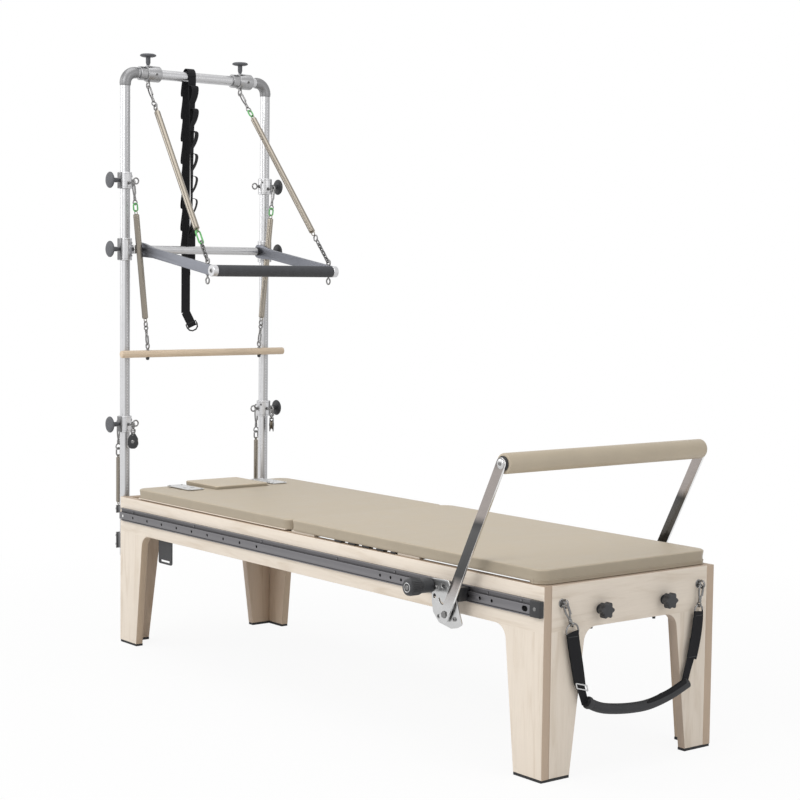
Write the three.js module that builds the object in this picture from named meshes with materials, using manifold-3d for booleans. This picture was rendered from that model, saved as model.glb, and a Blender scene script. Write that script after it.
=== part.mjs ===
// Pilates reformer bed with a half tower, a mat section and a folding footbar.
// Millimetres, +Z up. X runs along the bed, from the head end (the tower) to the foot end.
// Y runs across it, with the near side at -Y. The floor is at Z = 0.
import * as THREE from 'three';
import { mergeVertices } from 'three/addons/utils/BufferGeometryUtils.js';
import Module from 'manifold-3d';

const wasm = await Module();
wasm.setup();

// Wooden bed
const BED_LENGTH = 2380;
const BED_WIDTH = 700;
const BED_HEIGHT = 560;
const BOARD = 30;
const BOARD_EDGE = 3;
const BEAM_DEPTH = 132;
const ARCH_RADIUS = 45;
const SIDE_LEG_FOOT = 119;
const SIDE_LEG_TOP = 160;
const END_LEG_FOOT = 110;
const END_LEG_TOP = 158;
const FOOT_PAD_HEIGHT = 8;
const FOOT_PAD_INSET = 2;

// Clearances
const SEAT_GAP = 0.3;
const HANG_GAP = 1.7;
const STRAP_GAP = 1.2;
const RUN_GAP = 0.5;
const PIN_GAP = 0.7;
const PLAY = 2;
const OVERRUN = 5;

// Footbar rail on each side board
const RAIL_START = 20;
const RAIL_DROP = 88;
const RAIL_HEIGHT = 48;
const RAIL_BACK = 6;
const RAIL_LAND = 15;
const RAIL_LIP = 10;
const RAIL_LIP_HEIGHT = 3;
const RAIL_LOWER_GROOVE = 4;
const RAIL_UPPER_GROOVE = 12;
const RAIL_CAP = 43;
const RAIL_HOLE_RADIUS = 5;
const RAIL_HOLE_RISE = 20;
const RAIL_HEAD_HOLES = 9;
const RAIL_HEAD_HOLE_START = 121;
const RAIL_HEAD_HOLE_PITCH = 104.6;
const RAIL_FOOT_HOLES = 11;
const RAIL_FOOT_HOLE_START = 205;
const RAIL_FOOT_HOLE_PITCH = 52.7;

// Inner tracks, cross members and spring bar
const TRACK_DROP = 60;
const TRACK_THICK = 8;
const TRACK_WIDTH = 34;
const TRACK_SKIRT = 40;
const TRACK_SETBACK = 3;
const CROSS_WIDTH = 50;
const SPRING_BAR_SETBACK = 330;
const SPRING_BAR_HEIGHT = 30;
const SPRING_PEGS = 5;
const SPRING_PEG_PITCH = 85;
const SPRING_PEG_RADIUS = 6;
const STOP_ROD_RADIUS = 5;
const STOP_ROD_SETBACK = 6.5;
const STOP_ROD_OFFSET = 130;
const STOP_ROD_SHOW = 15;

// Slotted black plate inside the near board
const PLATE_START = 234;
const PLATE_WIDTH = 94;
const PLATE_HANG = 94;
const PLATE_OVERLAP = 42;
const PLATE_THICK = 4;
const PLATE_CORNER = 8;
const PLATE_SLOT_WIDTH = 64;
const PLATE_SLOT_HEIGHT = 8;
const PLATE_SLOT_RAISE = 7;

// Tower
const TOWER_SETBACK = 22;
const TOWER_SPREAD = 636;
const TOWER_HEIGHT = 2171;
const POST_RADIUS = 19;
const POST_DROP = 230;
const ELBOW_BEND = 42;
const ELBOW_RADIUS = 21.5;
const ELBOW_SOCKET = 8;
const CLAMP_LOW_DROP = 173;
const CLAMP_LOW_HEIGHT = 62;
const CLAMP_HIGH_DROP = 53;
const CLAMP_HIGH_HEIGHT = 30;
const CLAMP_WIDTH = 51;
const CLAMP_THICK = 6;
const CLAMP_BITE = 1;

// Sliding collars, their eyes and pull knobs
const COLLAR_BORE_GAP = 0.5;
const COLLAR_RADIUS = 26;
const COLLAR_HEIGHT = 63;
const COLLAR_EDGE = 2;
const UPPER_COLLAR_SHARE = 0.81207;
const PIVOT_COLLAR_SHARE = 0.69231;
const PIVOT_COLLAR_LENGTH = 85;
const LOWER_COLLAR_NEAR_SHARE = 0.38508;
const LOWER_COLLAR_FAR_SHARE = 0.40166;
const TOP_COLLAR_RADIUS = 30;
const TOP_COLLAR_LENGTH = 88;
const TOP_COLLAR_NECK = 28;
const TOP_COLLAR_NECK_RADIUS = 27;
const TOP_COLLAR_GROOVE = 2;
const TOP_COLLAR_NEAR_SETBACK = 58;
const TOP_COLLAR_FAR_SETBACK = 161;
const TOP_KNOB_ALONG = 41;
const EYE_RADIUS = 11;
const EYE_WIRE = 2.2;
const EYE_SHANK = 3.5;
const EYE_REACH = 47;
const FRONT_EYE_REACH = 62;
const REAR_EYE_REACH = 50;
const TOP_EYE_DROP = 44;
const KNOB_RADIUS = 30;
const KNOB_THICK = 13;
const KNOB_STEM = 9;
const KNOB_NECK = 6;
const KNOB_REACH = 65;
const TOP_KNOB_REACH = 69;
const KNOB_FACE_SHARE = 0.7;
const KNOB_BACK_SHARE = 0.35;
const KNOB_FRONT_SHARE = 0.6;
const KNOB_CROWN_SHARE = 0.85;
const KNOB_NECK_SHARE = 0.35;
const EYE_DROP = 10;

// Push-through bar
const PUSH_PIVOT_FORWARD = 40;
const PUSH_SIDE_GAP = 43;
const PUSH_ARM_THICK = 12;
const PUSH_ARM_HEIGHT = 38;
const PUSH_TUBE_RADIUS = 15.5;
const PUSH_PIN_RADIUS = 7;
const PUSH_LUG_THICK = 12;
const PUSH_LUG_HEIGHT = 34;
const PUSH_LUG_NOSE = 8;
const PUSH_GRIP_FORWARD = 505;
const PUSH_GRIP_DROP = 76;
const PUSH_GRIP_CORE = 17;
const PUSH_GRIP_RADIUS = 21;
const PUSH_GRIP_END = 34;
const PUSH_EYE_RISE = 9;
const PUSH_EYE_FALL = 23;
const PUSH_EYE_BACK = 36;
const PUSH_ARM_CORNER = 12;

// Springs: wire coils with a loop at each end, snaps and links
const COIL_RADIUS = 10;
const COIL_WIRE = 2;
const COIL_LEAD = 8;
const CURL_STEPS = 8;
const WIRE_SIDES = 5;
const PUSH_CURLS = 12;
const PUSH_COIL_START = 135;
const PUSH_COIL_END_SHORT = 152;
const ROLL_CURLS = 8;
const ROLL_COIL_START = 122;
const ROLL_COIL_END_SHORT = 118;
const LOWER_CURLS = 4;
const LOWER_COIL_START = 112;
const LOWER_COIL_LENGTH = 190;
const SNAP_WIRE = 4;
const SNAP_WIDTH = 19;
const SNAP_PLAY = 6;
const COIL_TAPER_STEPS = 2;

// Roll-down bar
const DOWEL_RADIUS = 14;
const DOWEL_LENGTH = 740;
const DOWEL_DROP = 647;
const DOWEL_EYE_SPREAD = 510;
const DOWEL_EYE_RISE = 30;
const DOWEL_NUT_RADIUS = 7;
const DOWEL_NUT_DROP = 10;

// Pulleys
const PULLEY_DROP = 63;
const PULLEY_WHEEL_RADIUS = 22;
const PULLEY_CHEEK = 3;
const PULLEY_GAP = 10;
const PULLEY_NECK = 12;
const PULLEY_HUB = 5;
const PULLEY_NEAR_TURN_DEG = -38;
const PULLEY_FAR_TURN_DEG = 52;

// Strap of loops over the crossbar
const STRAP_PLACE = -36;
const STRAP_WIDTH = 36;
const STRAP_THICK = 3;
const STRAP_BULGE = 17;
const STRAP_BACK_BULGE = 9;
const STRAP_PITCH_SHARE = 0.13024;
const STRAP_LOOP_LENGTH = 50;
const STRAP_FRONT_LOOPS = 7;
const STRAP_FRONT_START = 34;
const STRAP_BACK_START = 74;
const STRAP_BEND_SHARE = 0.27;
const STRAP_BACK_LOOPS = 10;
const STRAP_TAIL = 24;
const STRAP_FRONT_RISE = 22;
const STRAP_RING_RADIUS = 16;
const STRAP_RING_WIRE = 2.5;

// Upholstery
const DECK_GAP = 4;
const CARRIAGE_PAD_START = 102;
const CARRIAGE_PAD_END = 1113;
const CARRIAGE_PAD_WIDTH = 682;
const CARRIAGE_PAD_THICK = 41;
const PAD_CORNER = 38;
const PAD_CROWN = 4;
const PAD_ROUND = 8;
const PAD_DRAW = 3;
const CUSHION_WAIST_SHARE = 0.4;
const CUSHION_SHOULDER_SHARE = 0.75;
const HEADREST_LENGTH = 228;
const HEADREST_WIDTH = 236;
const HEADREST_OVERHANG = 12;
const HEADREST_THICK = 48;
const HEADREST_GAP = 3;
const HEADREST_CORNER = 10;
const MAT_GAP = 3;
const MAT_END = 17;
const MAT_WIDTH = 690;
const MAT_RAISE = 8;
const MAT_THICK = 42;
const MAT_BOARD = 6;
const MAT_BOARD_INSET = 14;
const MAT_FIRST_STRIP = 130;
const MAT_SECOND_STRIP_START = 574;
const MAT_SECOND_STRIP = 120;
const MAT_STRIP_WIDTH = 35;
const MAT_STRIP_INSET = 5;
const MAT_BLOCKS = 5;
const MAT_BLOCK_START = 255;
const MAT_BLOCK_PITCH = 74;
const MAT_BLOCK_LENGTH = 38;

// Carriage below its pad
const CARRIAGE_BEAM = 18;
const CARRIAGE_BEAM_WALL = 8;
const CARRIAGE_SPREAD = 520;
const CARRIAGE_DECK = 5;
const CARRIAGE_INSET = 30;
const WHEEL_RADIUS = 24;
const WHEEL_WIDTH = 16;
const AXLE_RADIUS = 6;
const AXLE_INSET = 110;
const SOCKET_PLATE_LENGTH = 190;
const SOCKET_PLATE_WIDTH = 70;
const SOCKET_PLATE_THICK = 3;
const SOCKET_PLATE_START = 10;
const SOCKET_PLATE_OFFSET = 189;
const SOCKET_PITCH = 31;
const SOCKET_RADIUS = 9;
const SOCKET_WALL = 3;
const SOCKET_ALONG = 132;

// Footbar and the brackets that carry it along the rails
const BRACKET_STAND = 54;
const BRACKET_THICK = 5;
const BRACKET_SETBACK = 430;
const BRACKET_LENGTH = 140;
const BRACKET_RISE = 14;
const BRACKET_HANG = 79;
const BRACKET_HOLE_RADIUS = 7;
const BRACKET_LATCH_RADIUS = 5;
const BRACKET_SHOE_LENGTH = 118;
const FOOTBAR_PIVOT_ALONG = 75;
const FOOTBAR_PIVOT_RAISE = 41;
const FOOTBAR_LENGTH = 523;
const FOOTBAR_LEAN_DEG = 27;
const FOOTBAR_ARM_STAND = 14;
const FOOTBAR_ARM_THICK = 8;
const FOOTBAR_ARM_WIDTH = 30;
const FOOTBAR_ARM_TAIL = 24;
const FOOTBAR_TUBE_RADIUS = 16;
const FOOTBAR_PAD_RADIUS = 30;
const FOOTBAR_PAD_ROUND = 6;
const FOOTBAR_CAP_RADIUS = 22;
const FOOTBAR_CAP_THICK = 4;
const PIVOT_PIN_RADIUS = 7;
const PIVOT_HEAD_RADIUS = 11;
const PIVOT_HEAD_THICK = 4;
const PLUNGER_RADIUS = 22;
const PLUNGER_KNOB_RADIUS = 25;
const PLUNGER_LENGTH = 88;
const PLUNGER_KNOB_LENGTH = 48;
const PLUNGER_GROOVE = 3;
const PLUNGER_DROP = 25;
const PLUNGER_ALONG = -8;

// Foot end fittings
const STAR_KNOB_OFFSET = 132;
const STAR_KNOB_RISE = 48;
const STAR_KNOB_RADIUS = 25;
const STAR_KNOB_LOBES = 8;
const STAR_KNOB_HEAD = 24;
const STAR_KNOB_NECK = 14;
const STAR_KNOB_NECK_RADIUS = 12;
const STAR_KNOB_FLUTE = 4;
const STAR_KNOB_EDGE = 3;
const STRAP_EYE_OFFSET = 281;
const STRAP_EYE_FALL = 52;
const HANDLE_DEE_WIDTH = 50;
const HANDLE_DEE_HEIGHT = 34;
const HANDLE_WEB_OFFSET = 252;
const HANDLE_WEB_DROP = 84;
const HANDLE_WEB_WIDTH = 44;
const HANDLE_WEB_END = 28;
const HANDLE_WEB_THICK = 4;
const HANDLE_DROP = 334;
const HANDLE_HALF = 207;
const HANDLE_SHIFT = 12;
const HANDLE_RADIUS = 14;
const HANDLE_SAG = 43;
const HANDLE_FORWARD = 20;

// Facets
const ROUND = 12;
const PIN_ROUND = 10;
const SMALL_ROUND = 8;
const TINY_ROUND = 6;
const KNOB_ROUND = 12;
const ELBOW_STEPS = 3;
const RING_STEPS = 8;
const STRAP_ARC_STEPS = 8;
const NEARLY_UPRIGHT_SHARE = 0.1;
const RING_SIDES = 4;
const ARCH_STEPS = 5;
const LINK_STEPS = 1;
const HANDLE_STEPS = 5;
const PAD_SEGMENTS = [8, 6];
const HEADREST_SEGMENTS = [6, 6];
const CROWN_POWER = 4;

// Shared places that follow from the sizes
const HEAD = -BED_LENGTH / 2;
const FOOT = BED_LENGTH / 2;
const SIDE = BED_WIDTH / 2;
const INNER = SIDE - BOARD;
const POST_X = HEAD - TOWER_SETBACK;
const POST_Y = TOWER_SPREAD / 2;
const ARCH_TOP = BED_HEIGHT - BEAM_DEPTH;
const RAIL_BOTTOM = BED_HEIGHT - RAIL_DROP;
const RAIL_HOLE_HEIGHT = RAIL_BOTTOM + RAIL_HOLE_RISE;
const STOP_ROD_BOTTOM = ARCH_TOP - STOP_ROD_SHOW;
const PLATE_BOTTOM = ARCH_TOP - PLATE_HANG;
const PLATE_TOP = ARCH_TOP + PLATE_OVERLAP;
const POST_BOTTOM = BED_HEIGHT - POST_DROP;
const CLAMP_LOW = BED_HEIGHT - CLAMP_LOW_DROP;
const CLAMP_HIGH = BED_HEIGHT - CLAMP_HIGH_DROP;
const TOP_COLLAR_NEAR = TOP_COLLAR_NEAR_SETBACK - POST_Y;
const TOP_COLLAR_FAR = POST_Y - TOP_COLLAR_FAR_SETBACK;
const PUSH_HALF_WIDTH = POST_Y - PUSH_SIDE_GAP;
const BRACKET_START = BED_LENGTH - BRACKET_SETBACK;
const BRACKET_FACE = SIDE + BRACKET_STAND;
const BRACKET_TOP = RAIL_BOTTOM + RAIL_HEIGHT + BRACKET_RISE;
const BRACKET_BOTTOM = RAIL_BOTTOM - BRACKET_HANG;
const FOOTBAR_ARM_FACE = BRACKET_FACE + FOOTBAR_ARM_STAND;
const PLUNGER_HEIGHT = BRACKET_TOP - PLUNGER_DROP;
const STRAP_EYE_HEIGHT = BED_HEIGHT - STRAP_EYE_FALL;
const UPPER_COLLAR_HEIGHT = UPPER_COLLAR_SHARE * TOWER_HEIGHT;
const PIVOT_COLLAR_HEIGHT = PIVOT_COLLAR_SHARE * TOWER_HEIGHT;
const LOWER_COLLAR_NEAR = LOWER_COLLAR_NEAR_SHARE * TOWER_HEIGHT;
const LOWER_COLLAR_FAR = LOWER_COLLAR_FAR_SHARE * TOWER_HEIGHT;
const STRAP_LOOP_PITCH = STRAP_PITCH_SHARE * (TOWER_HEIGHT - PIVOT_COLLAR_HEIGHT);
const STRAP_BOTTOM = TOWER_HEIGHT - STRAP_BACK_START - STRAP_LOOP_LENGTH - STRAP_TAIL
  - (STRAP_BACK_LOOPS - 1) * STRAP_LOOP_PITCH;
const STRAP_FRONT_BOTTOM = PIVOT_COLLAR_HEIGHT + STRAP_FRONT_RISE;
const TRACK_TOP = BED_HEIGHT - TRACK_DROP;
const STAR_KNOB_HEIGHT = ARCH_TOP + STAR_KNOB_RISE;
const FRONT_EYE_X = POST_X + FRONT_EYE_REACH;
const PUSH_X = POST_X + PUSH_PIVOT_FORWARD;
const PUSH_EYE_OFFSET = PUSH_GRIP_FORWARD - PUSH_EYE_BACK;
const RAIL_FACE = SIDE + SEAT_GAP;
const SIDES = [['near', -1], ['far', 1]];

const Z_AXIS = new THREE.Vector3(0, 0, 1);
const at = (x, y, z) => new THREE.Vector3(x, y, z);
const radians = (degrees) => THREE.MathUtils.degToRad(degrees);

// Eyes that carry the push springs: under the top collars and on the arms of the push-through bar
const topEye = (side) =>
  at(POST_X, (side < 0 ? TOP_COLLAR_NEAR : TOP_COLLAR_FAR) + TOP_KNOB_ALONG, TOWER_HEIGHT - TOP_EYE_DROP);

// A point level with the eyes on an arm, "rise" above the middle of the arm.
function pushArmPoint(rise) {
  const slope = PUSH_GRIP_DROP / PUSH_GRIP_FORWARD;
  const x = PUSH_X + PUSH_EYE_OFFSET;
  const middle = PIVOT_COLLAR_HEIGHT - slope * PUSH_EYE_OFFSET;
  return at(x, PUSH_HALF_WIDTH - PUSH_ARM_THICK / 2, middle + rise);
}

const pushEye = (side) =>
  pushArmPoint(PUSH_ARM_HEIGHT / 2 + PUSH_EYE_RISE).multiply(at(1, side, 1));
const pushLowerEye = () => pushArmPoint(-PUSH_ARM_HEIGHT / 2 - PUSH_EYE_FALL);

// Solids

// A closed geometry with shared vertices, faces outwards and no flat triangles.
function closed(geometry) {
  const plain = geometry.clone();
  plain.deleteAttribute('normal');
  plain.deleteAttribute('uv');
  const merged = mergeVertices(plain);
  const points = merged.attributes.position;
  const source = merged.index.array;
  const corners = [];
  for (let i = 0; i < source.length; i += 3) {
    const [a, b, c] = [source[i], source[i + 1], source[i + 2]];
    if (a !== b && b !== c && c !== a) corners.push(a, b, c);
  }
  const [p, q, r] = [at(0, 0, 0), at(0, 0, 0), at(0, 0, 0)];
  let volume = 0;
  for (let i = 0; i < corners.length; i += 3) {
    p.fromBufferAttribute(points, corners[i]);
    q.fromBufferAttribute(points, corners[i + 1]);
    r.fromBufferAttribute(points, corners[i + 2]);
    volume += p.dot(q.cross(r));
  }
  if (volume < 0) corners.reverse();
  merged.setIndex(corners);
  return merged;
}

function solid(geometry) {
  const shape = closed(geometry);
  return new wasm.Manifold(new wasm.Mesh({
    numProp: 3,
    vertProperties: new Float32Array(shape.attributes.position.array),
    triVerts: new Uint32Array(shape.index.array),
  }));
}

const asSolid = (shape) => (shape.isBufferGeometry ? solid(shape) : shape);

const join = (...shapes) => shapes.flat().map(asSolid).reduce((whole, next) => whole.add(next));

const cut = (shape, ...tools) =>
  tools.flat().map(asSolid).reduce((left, tool) => left.subtract(tool), asSolid(shape));

function geometryOf(shape) {
  if (shape.isBufferGeometry) return closed(shape);
  const mesh = shape.getMesh();
  const geometry = new THREE.BufferGeometry();
  geometry.setAttribute('position', new THREE.BufferAttribute(new Float32Array(mesh.vertProperties), 3));
  geometry.setIndex(new THREE.BufferAttribute(new Uint32Array(mesh.triVerts), 1));
  return geometry;
}

// Swaps the near side for the far side.
function acrossTheBed(geometry) {
  const far = geometryOf(geometry);
  far.scale(1, -1, 1);
  far.index.array.reverse();
  return far;
}

function box(low, high) {
  const size = high.clone().sub(low);
  const middle = high.clone().add(low).multiplyScalar(1 / 2);
  return new THREE.BoxGeometry(size.x, size.y, size.z).translate(middle.x, middle.y, middle.z);
}

// Turns a shape modelled up +Z so that it stands on a point and looks along a direction.
function aim(geometry, from, direction) {
  const turn = new THREE.Quaternion().setFromUnitVectors(Z_AXIS, direction.clone().normalize());
  return geometry.applyQuaternion(turn).translate(from.x, from.y, from.z);
}

function rod(from, to, radius, sides = SMALL_ROUND) {
  const direction = to.clone().sub(from);
  const length = direction.length();
  const bar = new THREE.CylinderGeometry(radius, radius, length, sides);
  bar.rotateX(Math.PI / 2).translate(0, 0, length / 2);
  return aim(bar, from, direction);
}

// Turns a profile of [radius, height] points about the line that leaves "from" along "direction".
function turned(profile, from, direction, sides = ROUND) {
  const outline = profile.map(([radius, height]) => new THREE.Vector2(radius, height));
  return aim(new THREE.LatheGeometry(outline, sides).rotateX(Math.PI / 2), from, direction);
}

function ring(centre, normal, radius, wire, steps = RING_STEPS) {
  return aim(new THREE.TorusGeometry(radius, wire, RING_SIDES, steps), centre, normal);
}

// An outline whose corners are [u, v, radius]; a corner without a radius stays sharp.
function outline(corners, steps = 2) {
  const points = [];
  corners.forEach(([u, v, radius], i) => {
    const corner = new THREE.Vector2(u, v);
    if (!radius) {
      points.push(corner);
      return;
    }
    const [pu, pv] = corners[(i + corners.length - 1) % corners.length];
    const [nu, nv] = corners[(i + 1) % corners.length];
    const back = new THREE.Vector2(pu, pv).sub(corner).normalize();
    const ahead = new THREE.Vector2(nu, nv).sub(corner).normalize();
    const half = Math.acos(THREE.MathUtils.clamp(back.dot(ahead), -1, 1)) / 2;
    const start = corner.clone().addScaledVector(back, radius / Math.tan(half));
    const end = corner.clone().addScaledVector(ahead, radius / Math.tan(half));
    const inward = back.clone().add(ahead).normalize();
    const centre = corner.clone().addScaledVector(inward, radius / Math.sin(half));
    const from = start.clone().sub(centre).angle();
    let sweep = end.clone().sub(centre).angle() - from;
    if (sweep > Math.PI) sweep -= 2 * Math.PI;
    if (sweep < -Math.PI) sweep += 2 * Math.PI;
    for (let k = 0; k <= steps; k += 1) {
      const angle = from + (sweep * k) / steps;
      points.push(new THREE.Vector2(Math.cos(angle), Math.sin(angle)).multiplyScalar(radius).add(centre));
    }
  });
  return points;
}

const PLANES = {
  side: [at(1, 0, 0), at(0, 0, 1), at(0, -1, 0)],
  end: [at(0, 1, 0), at(0, 0, 1), at(1, 0, 0)],
  flat: [at(1, 0, 0), at(0, 1, 0), at(0, 0, 1)],
};

// A board of the given outline. Its thickness runs from "start" along the plane's third direction.
function board(plane, points, start, thick, edge = 0, holes = []) {
  const shape = new THREE.Shape(THREE.ShapeUtils.isClockWise(points) ? [...points].reverse() : points);
  shape.holes = holes.map((hole) => new THREE.Path(hole));
  const depth = thick - 2 * edge;
  const geometry = new THREE.ExtrudeGeometry(shape, {
    depth,
    bevelEnabled: edge > 0,
    bevelSize: edge,
    bevelOffset: -edge,
    bevelThickness: edge,
    bevelSegments: 1,
  });
  const [u, v, w] = PLANES[plane];
  geometry.translate(0, 0, edge).applyMatrix4(new THREE.Matrix4().makeBasis(u, v, w));
  const shift = w.clone().multiplyScalar(start);
  return geometry.translate(shift.x, shift.y, shift.z);
}

function disc(radius, sides) {
  return Array.from({ length: sides }, (_, k) => {
    const angle = (2 * Math.PI * k) / sides;
    return new THREE.Vector2(Math.cos(angle), Math.sin(angle)).multiplyScalar(radius);
  });
}

// A round bar swept along a curve.
function bentRod(curve, radius, steps, sides = SMALL_ROUND) {
  return new THREE.ExtrudeGeometry(new THREE.Shape(disc(radius, sides)), {
    extrudePath: curve, steps, bevelEnabled: false,
  });
}

// A flat link with round ends between two points; "across" points along its width.
function link(from, to, width, wire, across) {
  const length = from.distanceTo(to) + width;
  const half = width / 2;
  const stadium = (inset) => outline([
    [-half + inset, -half + inset, half - inset - PLAY / 4],
    [half - inset, -half + inset, half - inset - PLAY / 4],
    [half - inset, length - half - inset, half - inset - PLAY / 4],
    [-half + inset, length - half - inset, half - inset - PLAY / 4],
  ], LINK_STEPS);
  const shape = new THREE.Shape(stadium(0));
  shape.holes = [new THREE.Path(stadium(wire))];
  const geometry = new THREE.ExtrudeGeometry(shape, { depth: wire, bevelEnabled: false });
  const up = to.clone().sub(from).normalize();
  const side = across.clone().addScaledVector(up, -across.dot(up)).normalize();
  const depth = side.clone().cross(up);
  geometry.translate(0, 0, -wire / 2);
  geometry.applyMatrix4(new THREE.Matrix4().makeBasis(side, up, depth));
  return geometry.translate(from.x, from.y, from.z);
}

// How far inside an eye a link's end lies, with some play between the two.
const hookIn = (play) => EYE_RADIUS - EYE_WIRE - play - SNAP_WIRE + SNAP_WIDTH / 2;

// A link between two eyes. It hangs in the upper one with "play" and reaches into the lower one.
function eyeLink(upper, lower, upperPlay, lowerPlay) {
  const down = lower.clone().sub(upper).normalize();
  const top = upper.clone().addScaledVector(down, hookIn(upperPlay));
  const bottom = lower.clone().addScaledVector(down, -hookIn(lowerPlay));
  return link(top, bottom, SNAP_WIDTH, SNAP_WIRE, at(0, 1, 0));
}

// A closed tube along a list of points, with flat ends.
function wireTube(points, radius, sides) {
  const positions = [];
  const index = [];
  const tangents = points.map((_, i) => {
    const before = points[Math.max(i - 1, 0)];
    const after = points[Math.min(i + 1, points.length - 1)];
    return after.clone().sub(before).normalize();
  });
  let normal = at(0, 0, 1).cross(tangents[0]);
  if (normal.length() < NEARLY_UPRIGHT_SHARE) normal = at(1, 0, 0).cross(tangents[0]);
  normal.normalize();
  points.forEach((point, i) => {
    normal.addScaledVector(tangents[i], -normal.dot(tangents[i])).normalize();
    const binormal = tangents[i].clone().cross(normal);
    for (let k = 0; k < sides; k += 1) {
      const angle = (2 * Math.PI * k) / sides;
      const spot = point.clone()
        .addScaledVector(normal, radius * Math.cos(angle))
        .addScaledVector(binormal, radius * Math.sin(angle));
      positions.push(spot.x, spot.y, spot.z);
    }
  });
  for (let i = 0; i + 1 < points.length; i += 1) {
    for (let k = 0; k < sides; k += 1) {
      const [a, b] = [i * sides + k, i * sides + ((k + 1) % sides)];
      index.push(a, b, b + sides, a, b + sides, a + sides);
    }
  }
  const last = (points.length - 1) * sides;
  for (let k = 1; k + 1 < sides; k += 1) {
    index.push(0, k + 1, k, last, last + k, last + k + 1);
  }
  const geometry = new THREE.BufferGeometry();
  geometry.setAttribute('position', new THREE.Float32BufferAttribute(positions, 3));
  geometry.setIndex(index);
  return geometry;
}

// The centre line of a coil between two points: a lead from each end loop and the curls between.
function coilPoints(from, to, curls) {
  const direction = to.clone().sub(from);
  const length = direction.length() - 2 * COIL_LEAD;
  const local = [at(0, 0, 0)];
  const steps = curls * CURL_STEPS;
  for (let i = 0; i <= steps; i += 1) {
    const angle = (2 * Math.PI * i) / CURL_STEPS;
    const reach = COIL_RADIUS * Math.min(1, (i + 1) / COIL_TAPER_STEPS, (steps - i + 1) / COIL_TAPER_STEPS);
    local.push(at(reach * Math.cos(angle), reach * Math.sin(angle), COIL_LEAD + (length * i) / steps));
  }
  local.push(at(0, 0, length + 2 * COIL_LEAD));
  const turn = new THREE.Quaternion().setFromUnitVectors(Z_AXIS, direction.normalize());
  return local.map((point) => point.applyQuaternion(turn).add(from));
}

// Least distance between turns, measured between points at least three quarters of a curl apart.
function leastGap(points, radius) {
  let least = Infinity;
  points.forEach((point, i) => {
    for (let j = i + Math.ceil((CURL_STEPS * 3) / 4); j < points.length; j += 1) {
      least = Math.min(least, point.distanceTo(points[j]));
    }
  });
  return least - 2 * radius;
}

// Model

const unit = new THREE.Group();

const FINISHES = {
  maple: [0xe0d3c0, 0.55, 0],
  rubber: [0x1d1d1e, 0.8, 0],
  rail: [0x77797f, 0.4, 0.8],
  steel: [0x3a3b3d, 0.5, 0.6],
  silver: [0xc9cacd, 0.35, 0.85],
  knob: [0x2b2b2d, 0.6, 0],
  spring: [0x8d8474, 0.35, 0.9],
  foam: [0x2d2d2f, 0.85, 0],
  dowel: [0xd8bf9c, 0.5, 0],
  webbing: [0x1a1a1c, 0.9, 0],
  vinyl: [0xbdb39c, 0.5, 0],
  chrome: [0xb9bbc0, 0.15, 1],
};

function piece(name, finish, shape) {
  const geometry = geometryOf(shape);
  geometry.computeVertexNormals();
  const [color, roughness, metalness] = FINISHES[finish];
  const mesh = new THREE.Mesh(geometry, new THREE.MeshStandardMaterial({ color, roughness, metalness }));
  mesh.name = name;
  unit.add(mesh);
  return mesh;
}

// Side and end boards: one arch each, with tapered legs.
function archBoard(half, legFoot, legTop) {
  const spring = ARCH_TOP - ARCH_RADIUS;
  const slope = (legTop - legFoot) / spring;
  const legHead = legFoot + slope * ARCH_TOP;
  return outline([
    [-half, FOOT_PAD_HEIGHT + SEAT_GAP],
    [-half + legFoot, FOOT_PAD_HEIGHT + SEAT_GAP],
    [-half + legHead, ARCH_TOP, ARCH_RADIUS],
    [half - legHead, ARCH_TOP, ARCH_RADIUS],
    [half - legFoot, FOOT_PAD_HEIGHT + SEAT_GAP],
    [half, FOOT_PAD_HEIGHT + SEAT_GAP],
    [half, BED_HEIGHT],
    [-half, BED_HEIGHT],
  ], ARCH_STEPS);
}

for (const [name, side] of SIDES) {
  const points = archBoard(FOOT, SIDE_LEG_FOOT, SIDE_LEG_TOP);
  piece(`side_panel_${name}`, 'maple', board('side', points, side < 0 ? INNER : -SIDE, BOARD, BOARD_EDGE));
}

const endHalf = INNER - SEAT_GAP;
const endPoints = archBoard(endHalf, END_LEG_FOOT - BOARD, END_LEG_TOP - BOARD);
piece('end_panel_head', 'maple', board('end', endPoints, HEAD, BOARD, BOARD_EDGE));
piece('end_panel_foot', 'maple', board('end', endPoints, FOOT - BOARD, BOARD, BOARD_EDGE));

// L-shaped pads under the four legs
for (const [name, side] of SIDES) {
  for (const [end, way] of [['head', -1], ['foot', 1]]) {
    const [outX, outY] = [FOOT - FOOT_PAD_INSET, SIDE - FOOT_PAD_INSET];
    const [legX, legY] = [FOOT - SIDE_LEG_FOOT, SIDE - END_LEG_FOOT];
    const corners = [
      [legX, outY], [outX, outY], [outX, legY],
      [FOOT - BOARD, legY], [FOOT - BOARD, INNER], [legX, INNER],
    ];
    const points = outline(corners.map(([x, y]) => [way * x, side * y]));
    piece(`foot_pad_${name}_${end}`, 'rubber', board('flat', points, 0, FOOT_PAD_HEIGHT));
  }
}

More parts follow.
